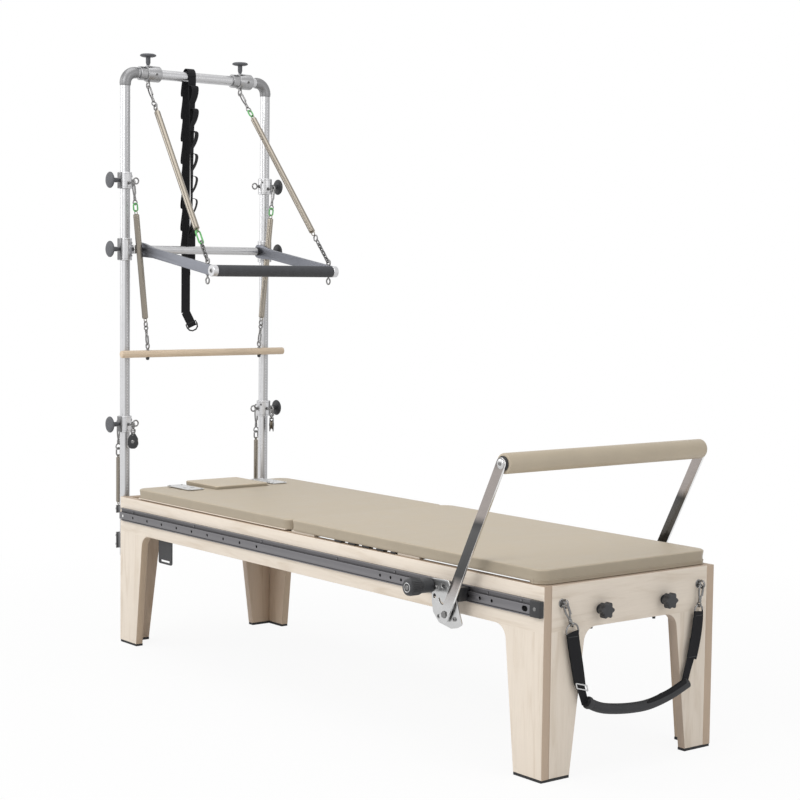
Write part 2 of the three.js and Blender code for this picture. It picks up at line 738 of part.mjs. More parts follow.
// Footbar rail: a grooved bar with its two rows of index holes and a square end cap
function railProfile() {
  const top = RAIL_BOTTOM + RAIL_HEIGHT;
  const landBottom = RAIL_BOTTOM + RAIL_LIP_HEIGHT + RAIL_LOWER_GROOVE;
  const landTop = top - RAIL_LIP_HEIGHT - RAIL_UPPER_GROOVE;
  return outline([
    [0, RAIL_BOTTOM],
    [RAIL_LIP, RAIL_BOTTOM],
    [RAIL_LIP, RAIL_BOTTOM + RAIL_LIP_HEIGHT],
    [RAIL_BACK, RAIL_BOTTOM + RAIL_LIP_HEIGHT],
    [RAIL_BACK, landBottom],
    [RAIL_LAND, landBottom],
    [RAIL_LAND, landTop],
    [RAIL_BACK, landTop],
    [RAIL_BACK, top - RAIL_LIP_HEIGHT],
    [RAIL_LIP, top - RAIL_LIP_HEIGHT],
    [RAIL_LIP, top],
    [0, top],
  ]);
}

function rail() {
  const length = BED_LENGTH - RAIL_START;
  const bar = board('end', railProfile(), HEAD + RAIL_START, length).translate(0, RAIL_FACE, 0);
  const cap = box(
    at(FOOT - RAIL_CAP, RAIL_FACE, RAIL_BOTTOM),
    at(FOOT, RAIL_FACE + RAIL_LAND + SEAT_GAP, RAIL_BOTTOM + RAIL_HEIGHT),
  );
  const holes = [];
  const drill = (x) => holes.push(rod(
    at(x, RAIL_FACE - OVERRUN, RAIL_HOLE_HEIGHT),
    at(x, RAIL_FACE + RAIL_LAND + OVERRUN, RAIL_HOLE_HEIGHT),
    RAIL_HOLE_RADIUS,
    TINY_ROUND,
  ));
  for (let i = 0; i < RAIL_HEAD_HOLES; i += 1) drill(HEAD + RAIL_HEAD_HOLE_START + i * RAIL_HEAD_HOLE_PITCH);
  for (let i = 0; i < RAIL_FOOT_HOLES; i += 1) drill(FOOT - RAIL_FOOT_HOLE_START - i * RAIL_FOOT_HOLE_PITCH);
  return cut(join(bar, cap), holes);
}

const farRail = rail();
piece('footbar_rail_near', 'rail', acrossTheBed(farRail));
piece('footbar_rail_far', 'rail', farRail);

// Inner tracks for the wheels, joined by cross members and the spring bar
function trackFrame() {
  const reach = FOOT - BOARD - SEAT_GAP;
  const outer = INNER - SEAT_GAP;
  const crossTop = TRACK_TOP - TRACK_SKIRT;
  const parts = [];
  for (const [, side] of SIDES) {
    const profile = outline([
      [side * outer, crossTop - TRACK_THICK],
      [side * outer, TRACK_TOP],
      [side * (outer - TRACK_WIDTH), TRACK_TOP],
      [side * (outer - TRACK_WIDTH), TRACK_TOP - TRACK_THICK],
      [side * (outer - TRACK_THICK), TRACK_TOP - TRACK_THICK],
      [side * (outer - TRACK_THICK), crossTop - TRACK_THICK],
    ]);
    parts.push(board('end', profile, -reach, 2 * reach));
  }
  const across = (x, low, high, width) => box(at(x - width / 2, -outer, low), at(x + width / 2, outer, high));
  const ends = reach - CROSS_WIDTH / 2 - TRACK_SETBACK;
  for (const x of [-ends, 0, ends]) parts.push(across(x, crossTop - TRACK_THICK, crossTop, CROSS_WIDTH));
  const barX = FOOT - SPRING_BAR_SETBACK;
  const barLow = crossTop - TRACK_THICK;
  parts.push(across(barX, barLow, barLow + SPRING_BAR_HEIGHT, CROSS_WIDTH / 2));
  for (let i = 0; i < SPRING_PEGS; i += 1) {
    const y = (i - (SPRING_PEGS - 1) / 2) * SPRING_PEG_PITCH;
    const base = crossTop - TRACK_THICK + SPRING_BAR_HEIGHT - PLAY;
    parts.push(rod(at(barX, y, base), at(barX, y, TRACK_TOP), SPRING_PEG_RADIUS, TINY_ROUND));
  }
  for (const [, side] of SIDES) {
    const y = side * STOP_ROD_OFFSET;
    const x = FOOT - BOARD - STOP_ROD_SETBACK;
    parts.push(rod(at(x, y, STOP_ROD_BOTTOM), at(x, y, crossTop - PLAY), STOP_ROD_RADIUS, TINY_ROUND));
  }
  return join(parts);
}

piece('track_frame', 'steel', trackFrame());

// Black plate with a strap slot, fixed to the inner face of the near board
{
  const [left, right] = [HEAD + PLATE_START, HEAD + PLATE_START + PLATE_WIDTH];
  const slotLeft = left + (PLATE_WIDTH - PLATE_SLOT_WIDTH) / 2;
  const slotBottom = PLATE_BOTTOM + PLATE_SLOT_RAISE;
  const frame = outline([
    [left, PLATE_BOTTOM, PLATE_CORNER],
    [right, PLATE_BOTTOM, PLATE_CORNER],
    [right, PLATE_TOP],
    [left, PLATE_TOP],
  ]);
  const slot = outline([
    [slotLeft, slotBottom],
    [slotLeft + PLATE_SLOT_WIDTH, slotBottom],
    [slotLeft + PLATE_SLOT_WIDTH, slotBottom + PLATE_SLOT_HEIGHT],
    [slotLeft, slotBottom + PLATE_SLOT_HEIGHT],
  ]);
  const start = INNER - SEAT_GAP - PLATE_THICK;
  const lowered = TRACK_TOP - TRACK_SKIRT - TRACK_THICK - PLAY;
  const plate = board('side', frame, start, PLATE_THICK, 0, [slot]);
  const notch = box(
    at(left - OVERRUN, -INNER, lowered),
    at(right + OVERRUN, -INNER + BOARD, PLATE_TOP + OVERRUN),
  );
  piece('slotted_plate', 'steel', cut(plate, notch));
}

// Tower posts with the clamps that hold them to the head end
function towerPost() {
  const top = TOWER_HEIGHT - ELBOW_BEND - ELBOW_SOCKET - SEAT_GAP;
  const parts = [rod(at(POST_X, POST_Y, POST_BOTTOM), at(POST_X, POST_Y, top), POST_RADIUS, ROUND)];
  const back = POST_X - POST_RADIUS + CLAMP_BITE;
  for (const [middle, height] of [[CLAMP_LOW, CLAMP_LOW_HEIGHT], [CLAMP_HIGH, CLAMP_HIGH_HEIGHT]]) {
    const [low, high] = [middle - height / 2, middle + height / 2];
    const [left, right] = [POST_Y - CLAMP_WIDTH / 2, POST_Y + CLAMP_WIDTH / 2];
    parts.push(box(at(back - CLAMP_THICK, left, low), at(back, right, high)));
    parts.push(box(
      at(POST_X, POST_Y - POST_RADIUS, low),
      at(HEAD - SEAT_GAP, POST_Y + POST_RADIUS, high),
    ));
  }
  return join(parts);
}

const farPost = towerPost();
piece('tower_post_near', 'silver', acrossTheBed(farPost));
piece('tower_post_far', 'silver', farPost);

// Crossbar with a bent elbow at each end
function crossbar() {
  const bend = POST_Y - ELBOW_BEND;
  const low = TOWER_HEIGHT - ELBOW_BEND;
  const arc = Array.from({ length: ELBOW_STEPS + 1 }, (_, k) => {
    const angle = (Math.PI * k) / (2 * ELBOW_STEPS);
    return at(POST_X, bend + ELBOW_BEND * Math.sin(angle), low + ELBOW_BEND * Math.cos(angle));
  });
  const stops = [
    at(POST_X, bend - ELBOW_SOCKET, TOWER_HEIGHT),
    ...arc,
    at(POST_X, POST_Y, low - ELBOW_SOCKET),
  ];
  const elbow = wireTube(stops, ELBOW_RADIUS, ROUND);
  return join(
    rod(at(POST_X, -bend, TOWER_HEIGHT), at(POST_X, bend, TOWER_HEIGHT), POST_RADIUS, ROUND),
    elbow,
    acrossTheBed(elbow),
  );
}

piece('tower_crossbar', 'silver', crossbar());

// Collars: a bored sleeve with eyes and a pull knob that rides beside it
function sleeve(from, direction, length, radius) {
  const bore = POST_RADIUS + COLLAR_BORE_GAP;
  return turned([
    [bore, 0], [radius - COLLAR_EDGE, 0], [radius, COLLAR_EDGE],
    [radius, length - COLLAR_EDGE], [radius - COLLAR_EDGE, length], [bore, length], [bore, 0],
  ], from, direction);
}

// An eyebolt: a shank from "from" and a ring at "centre" that lies square to "normal".
function eye(from, centre, normal) {
  const reach = centre.clone().sub(from);
  const end = from.clone().addScaledVector(reach, 1 - EYE_RADIUS / reach.length());
  return [rod(from, end, EYE_SHANK, TINY_ROUND), ring(centre, normal, EYE_RADIUS, EYE_WIRE)];
}

function pullKnob(base, direction, reach) {
  const stem = reach - KNOB_THICK;
  return turned([
    [0, 0], [KNOB_NECK, 0], [KNOB_STEM, stem * KNOB_NECK_SHARE],
    [KNOB_STEM, stem], [KNOB_RADIUS * KNOB_FACE_SHARE, stem],
    [KNOB_RADIUS, stem + KNOB_THICK * KNOB_BACK_SHARE], [KNOB_RADIUS, stem + KNOB_THICK * KNOB_FRONT_SHARE],
    [KNOB_RADIUS * KNOB_CROWN_SHARE, reach], [0, reach],
  ], base, direction, KNOB_ROUND);
}

const knobReach = (radius, reach) => reach - radius - SEAT_GAP + KNOB_THICK / 2;

for (const [name, side] of SIDES) {
  const outward = at(0, side, 0);
  const inward = at(0, -side, 0);
  const base = (height) => at(POST_X, side * (POST_Y + COLLAR_RADIUS + SEAT_GAP), height);
  const collar = (middle, length) =>
    sleeve(at(POST_X, side * POST_Y, middle - length / 2), Z_AXIS, length, COLLAR_RADIUS);
  const onPost = (height, direction, reach) =>
    at(POST_X, side * POST_Y, height).addScaledVector(direction, reach);
  const shankStart = COLLAR_RADIUS - PLAY;
  const eyeToward = (height, direction, reach, normal) =>
    eye(onPost(height, direction, shankStart), onPost(height, direction, reach), normal);
  const knob = () => pullKnob(at(0, 0, 0), outward, knobReach(COLLAR_RADIUS, KNOB_REACH));
  const placed = (geometry, spot) => geometry.translate(spot.x, spot.y, spot.z);

  // Upper collar: carries one roll-down spring on its front eye
  piece(`upper_collar_${name}`, 'silver', join(
    collar(UPPER_COLLAR_HEIGHT, COLLAR_HEIGHT),
    eyeToward(UPPER_COLLAR_HEIGHT, inward, EYE_REACH, at(1, 0, 0)),
    eyeToward(UPPER_COLLAR_HEIGHT - EYE_DROP, at(1, 0, 0), FRONT_EYE_REACH, at(0, 1, 0)),
  ));
  piece(`upper_knob_${name}`, 'knob', placed(knob(), base(UPPER_COLLAR_HEIGHT)));

  // Pivot collar: a lug reaches forward and carries the pin of the push-through bar
  const lugY = POST_Y - COLLAR_RADIUS + PLAY;
  const pinEnd = PUSH_HALF_WIDTH + SEAT_GAP - PUSH_ARM_THICK - PUSH_TUBE_RADIUS;
  const lugSides = [side * lugY, side * (lugY + PUSH_LUG_THICK)];
  const lug = box(
    at(POST_X + POST_RADIUS + PLAY, Math.min(...lugSides), PIVOT_COLLAR_HEIGHT - PUSH_LUG_HEIGHT / 2),
    at(PUSH_X + PUSH_LUG_NOSE, Math.max(...lugSides), PIVOT_COLLAR_HEIGHT + PUSH_LUG_HEIGHT / 2),
  );
  const pinStart = at(PUSH_X, side * (lugY + PLAY), PIVOT_COLLAR_HEIGHT);
  piece(`pivot_collar_${name}`, 'silver', join(
    collar(PIVOT_COLLAR_HEIGHT, PIVOT_COLLAR_LENGTH),
    lug,
    rod(pinStart, at(PUSH_X, side * pinEnd, PIVOT_COLLAR_HEIGHT), PUSH_PIN_RADIUS, PIN_ROUND),
  ));
  piece(`pivot_knob_${name}`, 'knob', placed(knob(), base(PIVOT_COLLAR_HEIGHT)));

  // Lower collar: a pulley in front and a short spring behind
  const low = side < 0 ? LOWER_COLLAR_NEAR : LOWER_COLLAR_FAR;
  piece(`lower_collar_${name}`, 'silver', join(
    collar(low, COLLAR_HEIGHT),
    eyeToward(low, inward, EYE_REACH, at(1, 0, 0)),
    eyeToward(low, at(1, 0, 0), FRONT_EYE_REACH, at(0, 1, 0)),
    eyeToward(low, at(-1, 0, 0), REAR_EYE_REACH, at(0, 1, 0)),
  ));
  piece(`lower_knob_${name}`, 'knob', placed(knob(), base(low)));

  // Pulley: a wheel between two cheeks, hung from a link
  const turn = radians(side < 0 ? PULLEY_NEAR_TURN_DEG : PULLEY_FAR_TURN_DEG);
  const axle = at(Math.cos(turn), Math.sin(turn), 0);
  const hang = onPost(low, at(1, 0, 0), FRONT_EYE_REACH);
  const hub = hang.clone().setZ(low - PULLEY_DROP);
  const onAxle = (offset) => hub.clone().addScaledVector(axle, offset);
  const cheek = (offset) => rod(onAxle(offset), onAxle(offset + PULLEY_CHEEK), PULLEY_WHEEL_RADIUS);
  const inside = PULLEY_GAP / 2 + PLAY;
  const width = PULLEY_GAP + 2 * PULLEY_CHEEK;
  const neck = new THREE.BoxGeometry(width, PULLEY_NECK, PULLEY_NECK).rotateZ(turn);
  const neckHeight = hub.z + PULLEY_WHEEL_RADIUS;
  const linkTop = at(hang.x, hang.y, low - hookIn(HANG_GAP));
  const linkLow = at(hang.x, hang.y, neckHeight + SNAP_WIDTH / 2);
  piece(`pulley_${name}`, 'knob', join(
    cheek(-width / 2),
    cheek(PULLEY_GAP / 2),
    rod(onAxle(-inside), onAxle(inside), PULLEY_WHEEL_RADIUS - PULLEY_HUB),
    neck.translate(hub.x, hub.y, neckHeight),
    link(linkTop, linkLow, SNAP_WIDTH, SNAP_WIRE, at(0, 1, 0)),
  ));
}

// Top collars lie on the crossbar, each with a knob above and the eye of a push spring below
for (const [name, side] of SIDES) {
  const start = side < 0 ? TOP_COLLAR_NEAR : TOP_COLLAR_FAR;
  const bore = POST_RADIUS + COLLAR_BORE_GAP;
  const outer = TOP_COLLAR_RADIUS;
  const body = turned([
    [bore, 0], [TOP_COLLAR_NECK_RADIUS, 0], [TOP_COLLAR_NECK_RADIUS, TOP_COLLAR_NECK - TOP_COLLAR_GROOVE],
    [TOP_COLLAR_NECK_RADIUS - TOP_COLLAR_GROOVE, TOP_COLLAR_NECK],
    [outer, TOP_COLLAR_NECK + TOP_COLLAR_GROOVE],
    [outer, TOP_COLLAR_LENGTH - COLLAR_EDGE], [outer - COLLAR_EDGE, TOP_COLLAR_LENGTH],
    [bore, TOP_COLLAR_LENGTH], [bore, 0],
  ], at(POST_X, start, TOWER_HEIGHT), at(0, 1, 0));
  const y = start + TOP_KNOB_ALONG;
  const shankTop = at(POST_X, y, TOWER_HEIGHT - outer + PLAY);
  piece(`top_collar_${name}`, 'silver', join(body, eye(shankTop, topEye(side), at(0, 1, 0))));
  const stand = at(POST_X, y, TOWER_HEIGHT + outer + SEAT_GAP);
  piece(`top_knob_${name}`, 'knob', pullKnob(stand, Z_AXIS, knobReach(outer, TOP_KNOB_REACH)));
}

// Push-through bar: a pivot tube, two flat arms, a grip tube and the eyes for its springs
function pushBar() {
  const grip = at(PUSH_X + PUSH_GRIP_FORWARD, 0, PIVOT_COLLAR_HEIGHT - PUSH_GRIP_DROP);
  const along = grip.clone().sub(at(PUSH_X, 0, PIVOT_COLLAR_HEIGHT));
  const slope = Math.atan2(along.z, along.x);
  const half = PUSH_ARM_HEIGHT / 2;
  const armEnd = along.length() - PUSH_GRIP_CORE;
  const inner = PUSH_HALF_WIDTH - PUSH_ARM_THICK;
  const arm = board('side', outline([
    [-half, -half, PUSH_ARM_CORNER],
    [armEnd, -half],
    [armEnd, half],
    [-half, half, PUSH_ARM_CORNER],
  ]), -PUSH_HALF_WIDTH, PUSH_ARM_THICK).rotateY(-slope).translate(PUSH_X, 0, PIVOT_COLLAR_HEIGHT);
  const pivot = at(PUSH_X, inner + PLAY, PIVOT_COLLAR_HEIGHT);
  const gripEnd = at(grip.x, PUSH_HALF_WIDTH + COLLAR_EDGE, grip.z);
  const sleeveStart = at(grip.x, PUSH_HALF_WIDTH + COLLAR_EDGE - PUSH_GRIP_END, grip.z);
  const acrossTube = (end, radius, sides) => rod(end.clone().multiply(at(1, -1, 1)), end, radius, sides);
  const oneSide = [
    arm,
    rod(sleeveStart, gripEnd, PUSH_GRIP_RADIUS, ROUND),
    eye(pushArmPoint(PUSH_ARM_HEIGHT / 2 - PLAY), pushEye(1), at(0, 1, 0)),
    eye(pushArmPoint(PLAY - PUSH_ARM_HEIGHT / 2), pushLowerEye(), at(0, 1, 0)),
  ].flat();
  const bore = rod(
    at(PUSH_X, inner - PUSH_TUBE_RADIUS, PIVOT_COLLAR_HEIGHT),
    at(PUSH_X, PUSH_HALF_WIDTH + OVERRUN, PIVOT_COLLAR_HEIGHT),
    PUSH_PIN_RADIUS + PIN_GAP,
    PIN_ROUND,
  );
  const whole = join(
    oneSide,
    oneSide.map(acrossTheBed),
    acrossTube(pivot, PUSH_TUBE_RADIUS, ROUND),
    acrossTube(gripEnd, PUSH_GRIP_CORE, ROUND),
  );
  return cut(whole, bore, acrossTheBed(bore));
}

piece('push_bar', 'silver', pushBar());

// Foam sleeve on the grip tube
{
  const half = PUSH_HALF_WIDTH + COLLAR_EDGE - PUSH_GRIP_END - SEAT_GAP;
  const bore = PUSH_GRIP_CORE + SEAT_GAP;
  piece('push_bar_grip', 'foam', turned(
    [[bore, 0], [PUSH_GRIP_RADIUS, 0], [PUSH_GRIP_RADIUS, 2 * half], [bore, 2 * half], [bore, 0]],
    at(PUSH_X + PUSH_GRIP_FORWARD, -half, PIVOT_COLLAR_HEIGHT - PUSH_GRIP_DROP),
    at(0, 1, 0),
  ));
}

// Wire springs. Each has an end loop as wide as its curls at both ends of the coil.
function wireSpring(name, upperEye, lowerEnd, coilStart, coilEnd, curls) {
  const down = lowerEnd.clone().sub(upperEye).normalize();
  const spot = (distance) => upperEye.clone().addScaledVector(down, distance);
  const points = coilPoints(spot(coilStart), spot(coilEnd), curls);
  const gap = leastGap(points, COIL_WIRE);
  console.log(`${name}: least gap between turns ${gap.toFixed(2)} mm`);
  const square = at(0, 1, 0).addScaledVector(down, -down.y);
  const loopAt = (distance) => ring(spot(distance), square, EYE_RADIUS, EYE_WIRE);
  const upperLoop = coilStart - EYE_RADIUS;
  return join(
    eyeLink(upperEye, spot(upperLoop), HANG_GAP, -EYE_WIRE),
    loopAt(upperLoop),
    wireTube(points, COIL_WIRE, WIRE_SIDES),
    loopAt(coilEnd + EYE_RADIUS),
  );
}

for (const [name, side] of SIDES) {
  const [upper, lower] = [topEye(side), pushEye(side)];
  const reach = upper.distanceTo(lower);
  const coilEnd = reach - PUSH_COIL_END_SHORT;
  piece(`push_spring_${name}`, 'spring',
    wireSpring(`push_spring_${name}`, upper, lower, PUSH_COIL_START, coilEnd, PUSH_CURLS));
  const down = lower.clone().sub(upper).normalize();
  const loop = upper.clone().addScaledVector(down, coilEnd + EYE_RADIUS);
  piece(`push_link_${name}`, 'steel', eyeLink(loop, lower, HANG_GAP, HANG_GAP + SNAP_PLAY));
}

// Roll-down bar on two springs
const DOWEL_Z = UPPER_COLLAR_HEIGHT - EYE_DROP - DOWEL_DROP;
const dowelEye = (side) => at(FRONT_EYE_X, (side * DOWEL_EYE_SPREAD) / 2, DOWEL_Z + DOWEL_EYE_RISE);

for (const [name, side] of SIDES) {
  const upper = at(FRONT_EYE_X, side * POST_Y, UPPER_COLLAR_HEIGHT - EYE_DROP);
  const lower = dowelEye(side);
  const coilEnd = upper.distanceTo(lower) - ROLL_COIL_END_SHORT;
  const down = lower.clone().sub(upper).normalize();
  const loop = upper.clone().addScaledVector(down, coilEnd + EYE_RADIUS);
  piece(`roll_down_spring_${name}`, 'spring', join(
    wireSpring(`roll_down_spring_${name}`, upper, lower, ROLL_COIL_START, coilEnd, ROLL_CURLS),
    eyeLink(loop, lower, -EYE_WIRE, HANG_GAP),
  ));
}

{
  const half = DOWEL_LENGTH / 2;
  const parts = [rod(at(FRONT_EYE_X, -half, DOWEL_Z), at(FRONT_EYE_X, half, DOWEL_Z), DOWEL_RADIUS, ROUND)];
  for (const [, side] of SIDES) {
    const ringCentre = dowelEye(side);
    const nut = at(ringCentre.x, ringCentre.y, DOWEL_Z - DOWEL_RADIUS - DOWEL_NUT_DROP);
    const middle = at(ringCentre.x, ringCentre.y, DOWEL_Z);
    parts.push(...eye(middle, ringCentre, at(0, 1, 0)));
    parts.push(rod(nut, middle, DOWEL_NUT_RADIUS, TINY_ROUND));
  }
  piece('roll_down_bar', 'dowel', join(parts));
}

// Short springs parked behind the posts
for (const [name, side] of SIDES) {
  const low = side < 0 ? LOWER_COLLAR_NEAR : LOWER_COLLAR_FAR;
  const upper = at(POST_X - REAR_EYE_REACH, side * POST_Y, low);
  const coilEnd = LOWER_COIL_START + LOWER_COIL_LENGTH;
  const lower = upper.clone().setZ(low - coilEnd);
  piece(`lower_spring_${name}`, 'spring',
    wireSpring(`lower_spring_${name}`, upper, lower, LOWER_COIL_START, coilEnd, LOWER_CURLS));
}

// Strap of loops: one band over the crossbar, with open loops in front and flat ones behind
function loopStrap() {
  const inner = POST_RADIUS + STRAP_GAP;
  const outer = inner + STRAP_THICK;
  const bend = STRAP_LOOP_LENGTH * STRAP_BEND_SHARE;
  const holes = [];
  const loops = (way, start, count) => Array.from({ length: count }, (_, k) => {
    const top = TOWER_HEIGHT - start - k * STRAP_LOOP_PITCH;
    const bottom = top - STRAP_LOOP_LENGTH;
    const bulge = way > 0 ? STRAP_BULGE : STRAP_BACK_BULGE;
    const [root, crest] = [POST_X + way * outer, POST_X + way * (outer + bulge)];
    const skin = way * STRAP_THICK;
    if (way > 0) {
      holes.push(outline([
        [root, top - 2 * STRAP_THICK], [crest - skin, top - bend],
        [crest - skin, bottom + bend], [root, bottom + 2 * STRAP_THICK],
      ]));
    }
    return [[root, top], [crest, top - bend], [crest, bottom + bend], [root, bottom]];
  }).flat();
  const arc = (radius) => Array.from({ length: STRAP_ARC_STEPS + 1 }, (_, k) => {
    const angle = (Math.PI * k) / STRAP_ARC_STEPS;
    return [POST_X + radius * Math.cos(angle), TOWER_HEIGHT + radius * Math.sin(angle)];
  });
  const band = outline([
    [POST_X + inner, STRAP_FRONT_BOTTOM],
    [POST_X + outer, STRAP_FRONT_BOTTOM],
    ...loops(1, STRAP_FRONT_START, STRAP_FRONT_LOOPS).reverse(),
    ...arc(outer),
    ...loops(-1, STRAP_BACK_START, STRAP_BACK_LOOPS),
    [POST_X - outer, STRAP_BOTTOM],
    [POST_X - inner, STRAP_BOTTOM],
    ...arc(inner).reverse(),
  ]);
  const start = -STRAP_PLACE - STRAP_WIDTH / 2;
  const ringHeight = STRAP_BOTTOM - STRAP_RING_RADIUS + PLAY;
  const ringCentre = at(POST_X - inner - STRAP_THICK / 2, STRAP_PLACE, ringHeight);
  return join(
    board('side', band, start, STRAP_WIDTH, 0, holes),
    ring(ringCentre, at(1, 0, 0), STRAP_RING_RADIUS, STRAP_RING_WIRE),
  );
}

piece('loop_strap', 'webbing', loopStrap());

// A cushion: rounded corners in plan, a rounded upper edge, sides drawn in and a crowned top
function cushion(low, high, corner, segments) {
  const size = high.clone().sub(low);
  const middle = high.clone().add(low).multiplyScalar(1 / 2);
  const [alongSteps, acrossSteps] = segments;
  const levels = [0, CUSHION_WAIST_SHARE, CUSHION_SHOULDER_SHARE, 1];
  const insets = [PAD_DRAW / 2, PAD_DRAW, 0, PAD_ROUND];
  const geometry = new THREE.BoxGeometry(1, 1, 1, alongSteps, acrossSteps, levels.length - 1);
  const points = geometry.attributes.position;
  const spread = (unitPlace, steps, length) => {
    const k = Math.round((unitPlace + 1 / 2) * steps);
    const stops = [0, corner / 2, corner];
    if (k < stops.length) return stops[k] - length / 2;
    if (steps - k < stops.length) return length / 2 - stops[steps - k];
    return ((length - 2 * corner) * (k - 2)) / (steps - 4) + corner - length / 2;
  };
  const flatHeight = size.z - PAD_CROWN;
  for (let i = 0; i < points.count; i += 1) {
    const level = Math.round((points.getZ(i) + 1 / 2) * (levels.length - 1));
    let x = spread(points.getX(i), alongSteps, size.x);
    let y = spread(points.getY(i), acrossSteps, size.y);
    const a = (Math.abs(x) - size.x / 2 + corner) / corner;
    const b = (Math.abs(y) - size.y / 2 + corner) / corner;
    if (a > 0 && b > 0) {
      const pull = Math.max(a, b) / Math.hypot(a, b);
      x = Math.sign(x) * (size.x / 2 - corner + a * pull * corner);
      y = Math.sign(y) * (size.y / 2 - corner + b * pull * corner);
    }
    const [u, v] = [(2 * x) / size.x, (2 * y) / size.y];
    const shrink = [1 - (2 * insets[level]) / size.x, 1 - (2 * insets[level]) / size.y];
    const swell = (1 - u ** CROWN_POWER) * (1 - v ** CROWN_POWER);
    const crown = level === levels.length - 1 ? PAD_CROWN * swell : 0;
    points.setXYZ(i, x * shrink[0], y * shrink[1], levels[level] * flatHeight + crown);
  }
  return geometry.translate(middle.x, middle.y, low.z);
}

// Carriage: two bored beams, a deck, and the socket plates that stand above the pad
const DECK_TOP = BED_HEIGHT + DECK_GAP - SEAT_GAP;
const PAD_TOP = BED_HEIGHT + DECK_GAP + CARRIAGE_PAD_THICK;
const PAD_START = HEAD + CARRIAGE_PAD_START;
const PAD_END = HEAD + CARRIAGE_PAD_END;
const WHEEL_HEIGHT = TRACK_TOP + WHEEL_RADIUS + SEAT_GAP;
const AXLES = [['head', PAD_START + AXLE_INSET], ['foot', PAD_END - AXLE_INSET]];

function socketCentres() {
  const centres = [];
  for (const side of [-1, 1]) {
    for (const way of [-1, 1]) {
      const y = side * SOCKET_PLATE_OFFSET + (way * SOCKET_PITCH) / 2;
      centres.push(at(PAD_START + SOCKET_ALONG, y, PAD_TOP));
    }
  }
  return centres;
}

function carriageFrame() {
  const [start, end] = [PAD_START + CARRIAGE_INSET, PAD_END - CARRIAGE_INSET];
  const half = CARRIAGE_SPREAD / 2 + CARRIAGE_BEAM / 2;
  const underside = DECK_TOP - CARRIAGE_DECK;
  const parts = [box(at(start, -half, underside), at(end, half, DECK_TOP))];
  const bores = [];
  for (const [, side] of SIDES) {
    const y = (side * CARRIAGE_SPREAD) / 2;
    parts.push(box(
      at(start, y - CARRIAGE_BEAM / 2, WHEEL_HEIGHT - AXLE_RADIUS - PIN_GAP - CARRIAGE_BEAM_WALL),
      at(end, y + CARRIAGE_BEAM / 2, underside + PLAY),
    ));
    const plateStart = PAD_START + SOCKET_PLATE_START;
    const y0 = side * SOCKET_PLATE_OFFSET;
    parts.push(board('flat', outline([
      [plateStart, y0 - SOCKET_PLATE_WIDTH / 2, SOCKET_RADIUS],
      [plateStart + SOCKET_PLATE_LENGTH, y0 - SOCKET_PLATE_WIDTH / 2, SOCKET_RADIUS],
      [plateStart + SOCKET_PLATE_LENGTH, y0 + SOCKET_PLATE_WIDTH / 2, SOCKET_RADIUS],
      [plateStart, y0 + SOCKET_PLATE_WIDTH / 2, SOCKET_RADIUS],
    ]), PAD_TOP + SEAT_GAP, SOCKET_PLATE_THICK));
  }
  for (const centre of socketCentres()) {
    const level = (z) => centre.clone().setZ(z);
    const wall = SOCKET_RADIUS + SOCKET_WALL;
    parts.push(rod(level(underside + PLAY), level(PAD_TOP + SEAT_GAP + PLAY), wall));
    bores.push(rod(level(underside - OVERRUN), level(PAD_TOP + OVERRUN * 2), SOCKET_RADIUS));
  }
  for (const [, x] of AXLES) {
    const across = (y) => at(x, y, WHEEL_HEIGHT);
    bores.push(rod(across(-half - OVERRUN), across(half + OVERRUN), AXLE_RADIUS + PIN_GAP, PIN_ROUND));
  }
  return cut(join(parts), bores);
}

piece('carriage_frame', 'chrome', carriageFrame());

for (const [name, x] of AXLES) {
  const outer = INNER - TRACK_THICK - PLAY;
  const parts = [rod(at(x, -outer, WHEEL_HEIGHT), at(x, outer, WHEEL_HEIGHT), AXLE_RADIUS, PIN_ROUND)];
  for (const [, side] of SIDES) {
    parts.push(rod(
      at(x, side * (outer - WHEEL_WIDTH), WHEEL_HEIGHT),
      at(x, side * outer, WHEEL_HEIGHT),
      WHEEL_RADIUS,
      ROUND,
    ));
  }
  piece(`wheelset_${name}`, 'knob', join(parts));
}

// Carriage pad, with a bay for the headrest and holes for the shoulder sockets
{
  const half = CARRIAGE_PAD_WIDTH / 2;
  const base = BED_HEIGHT + DECK_GAP;
  const pad = cushion(at(PAD_START, -half, base), at(PAD_END, half, PAD_TOP), PAD_CORNER, PAD_SEGMENTS);
  const bayEnd = PAD_START - HEADREST_OVERHANG + HEADREST_LENGTH + 2 * HEADREST_GAP;
  const bayHalf = HEADREST_WIDTH / 2 + HEADREST_GAP;
  const bay = box(at(PAD_START - OVERRUN, -bayHalf, base - OVERRUN), at(bayEnd, bayHalf, PAD_TOP + OVERRUN));
  const holes = socketCentres().map((centre) => rod(
    centre.clone().setZ(base - OVERRUN),
    centre.clone().setZ(PAD_TOP + OVERRUN),
    SOCKET_RADIUS + SOCKET_WALL + RUN_GAP,
  ));
  piece('carriage_pad', 'vinyl', cut(pad, bay, holes));
}

// Headrest
{
  const [start, half] = [PAD_START - HEADREST_OVERHANG, HEADREST_WIDTH / 2];
  const base = BED_HEIGHT + DECK_GAP;
  const pad = cushion(
    at(start, -half, base),
    at(start + HEADREST_LENGTH, half, base + HEADREST_THICK),
    HEADREST_CORNER,
    HEADREST_SEGMENTS,
  );
  piece('headrest', 'vinyl', pad);
}

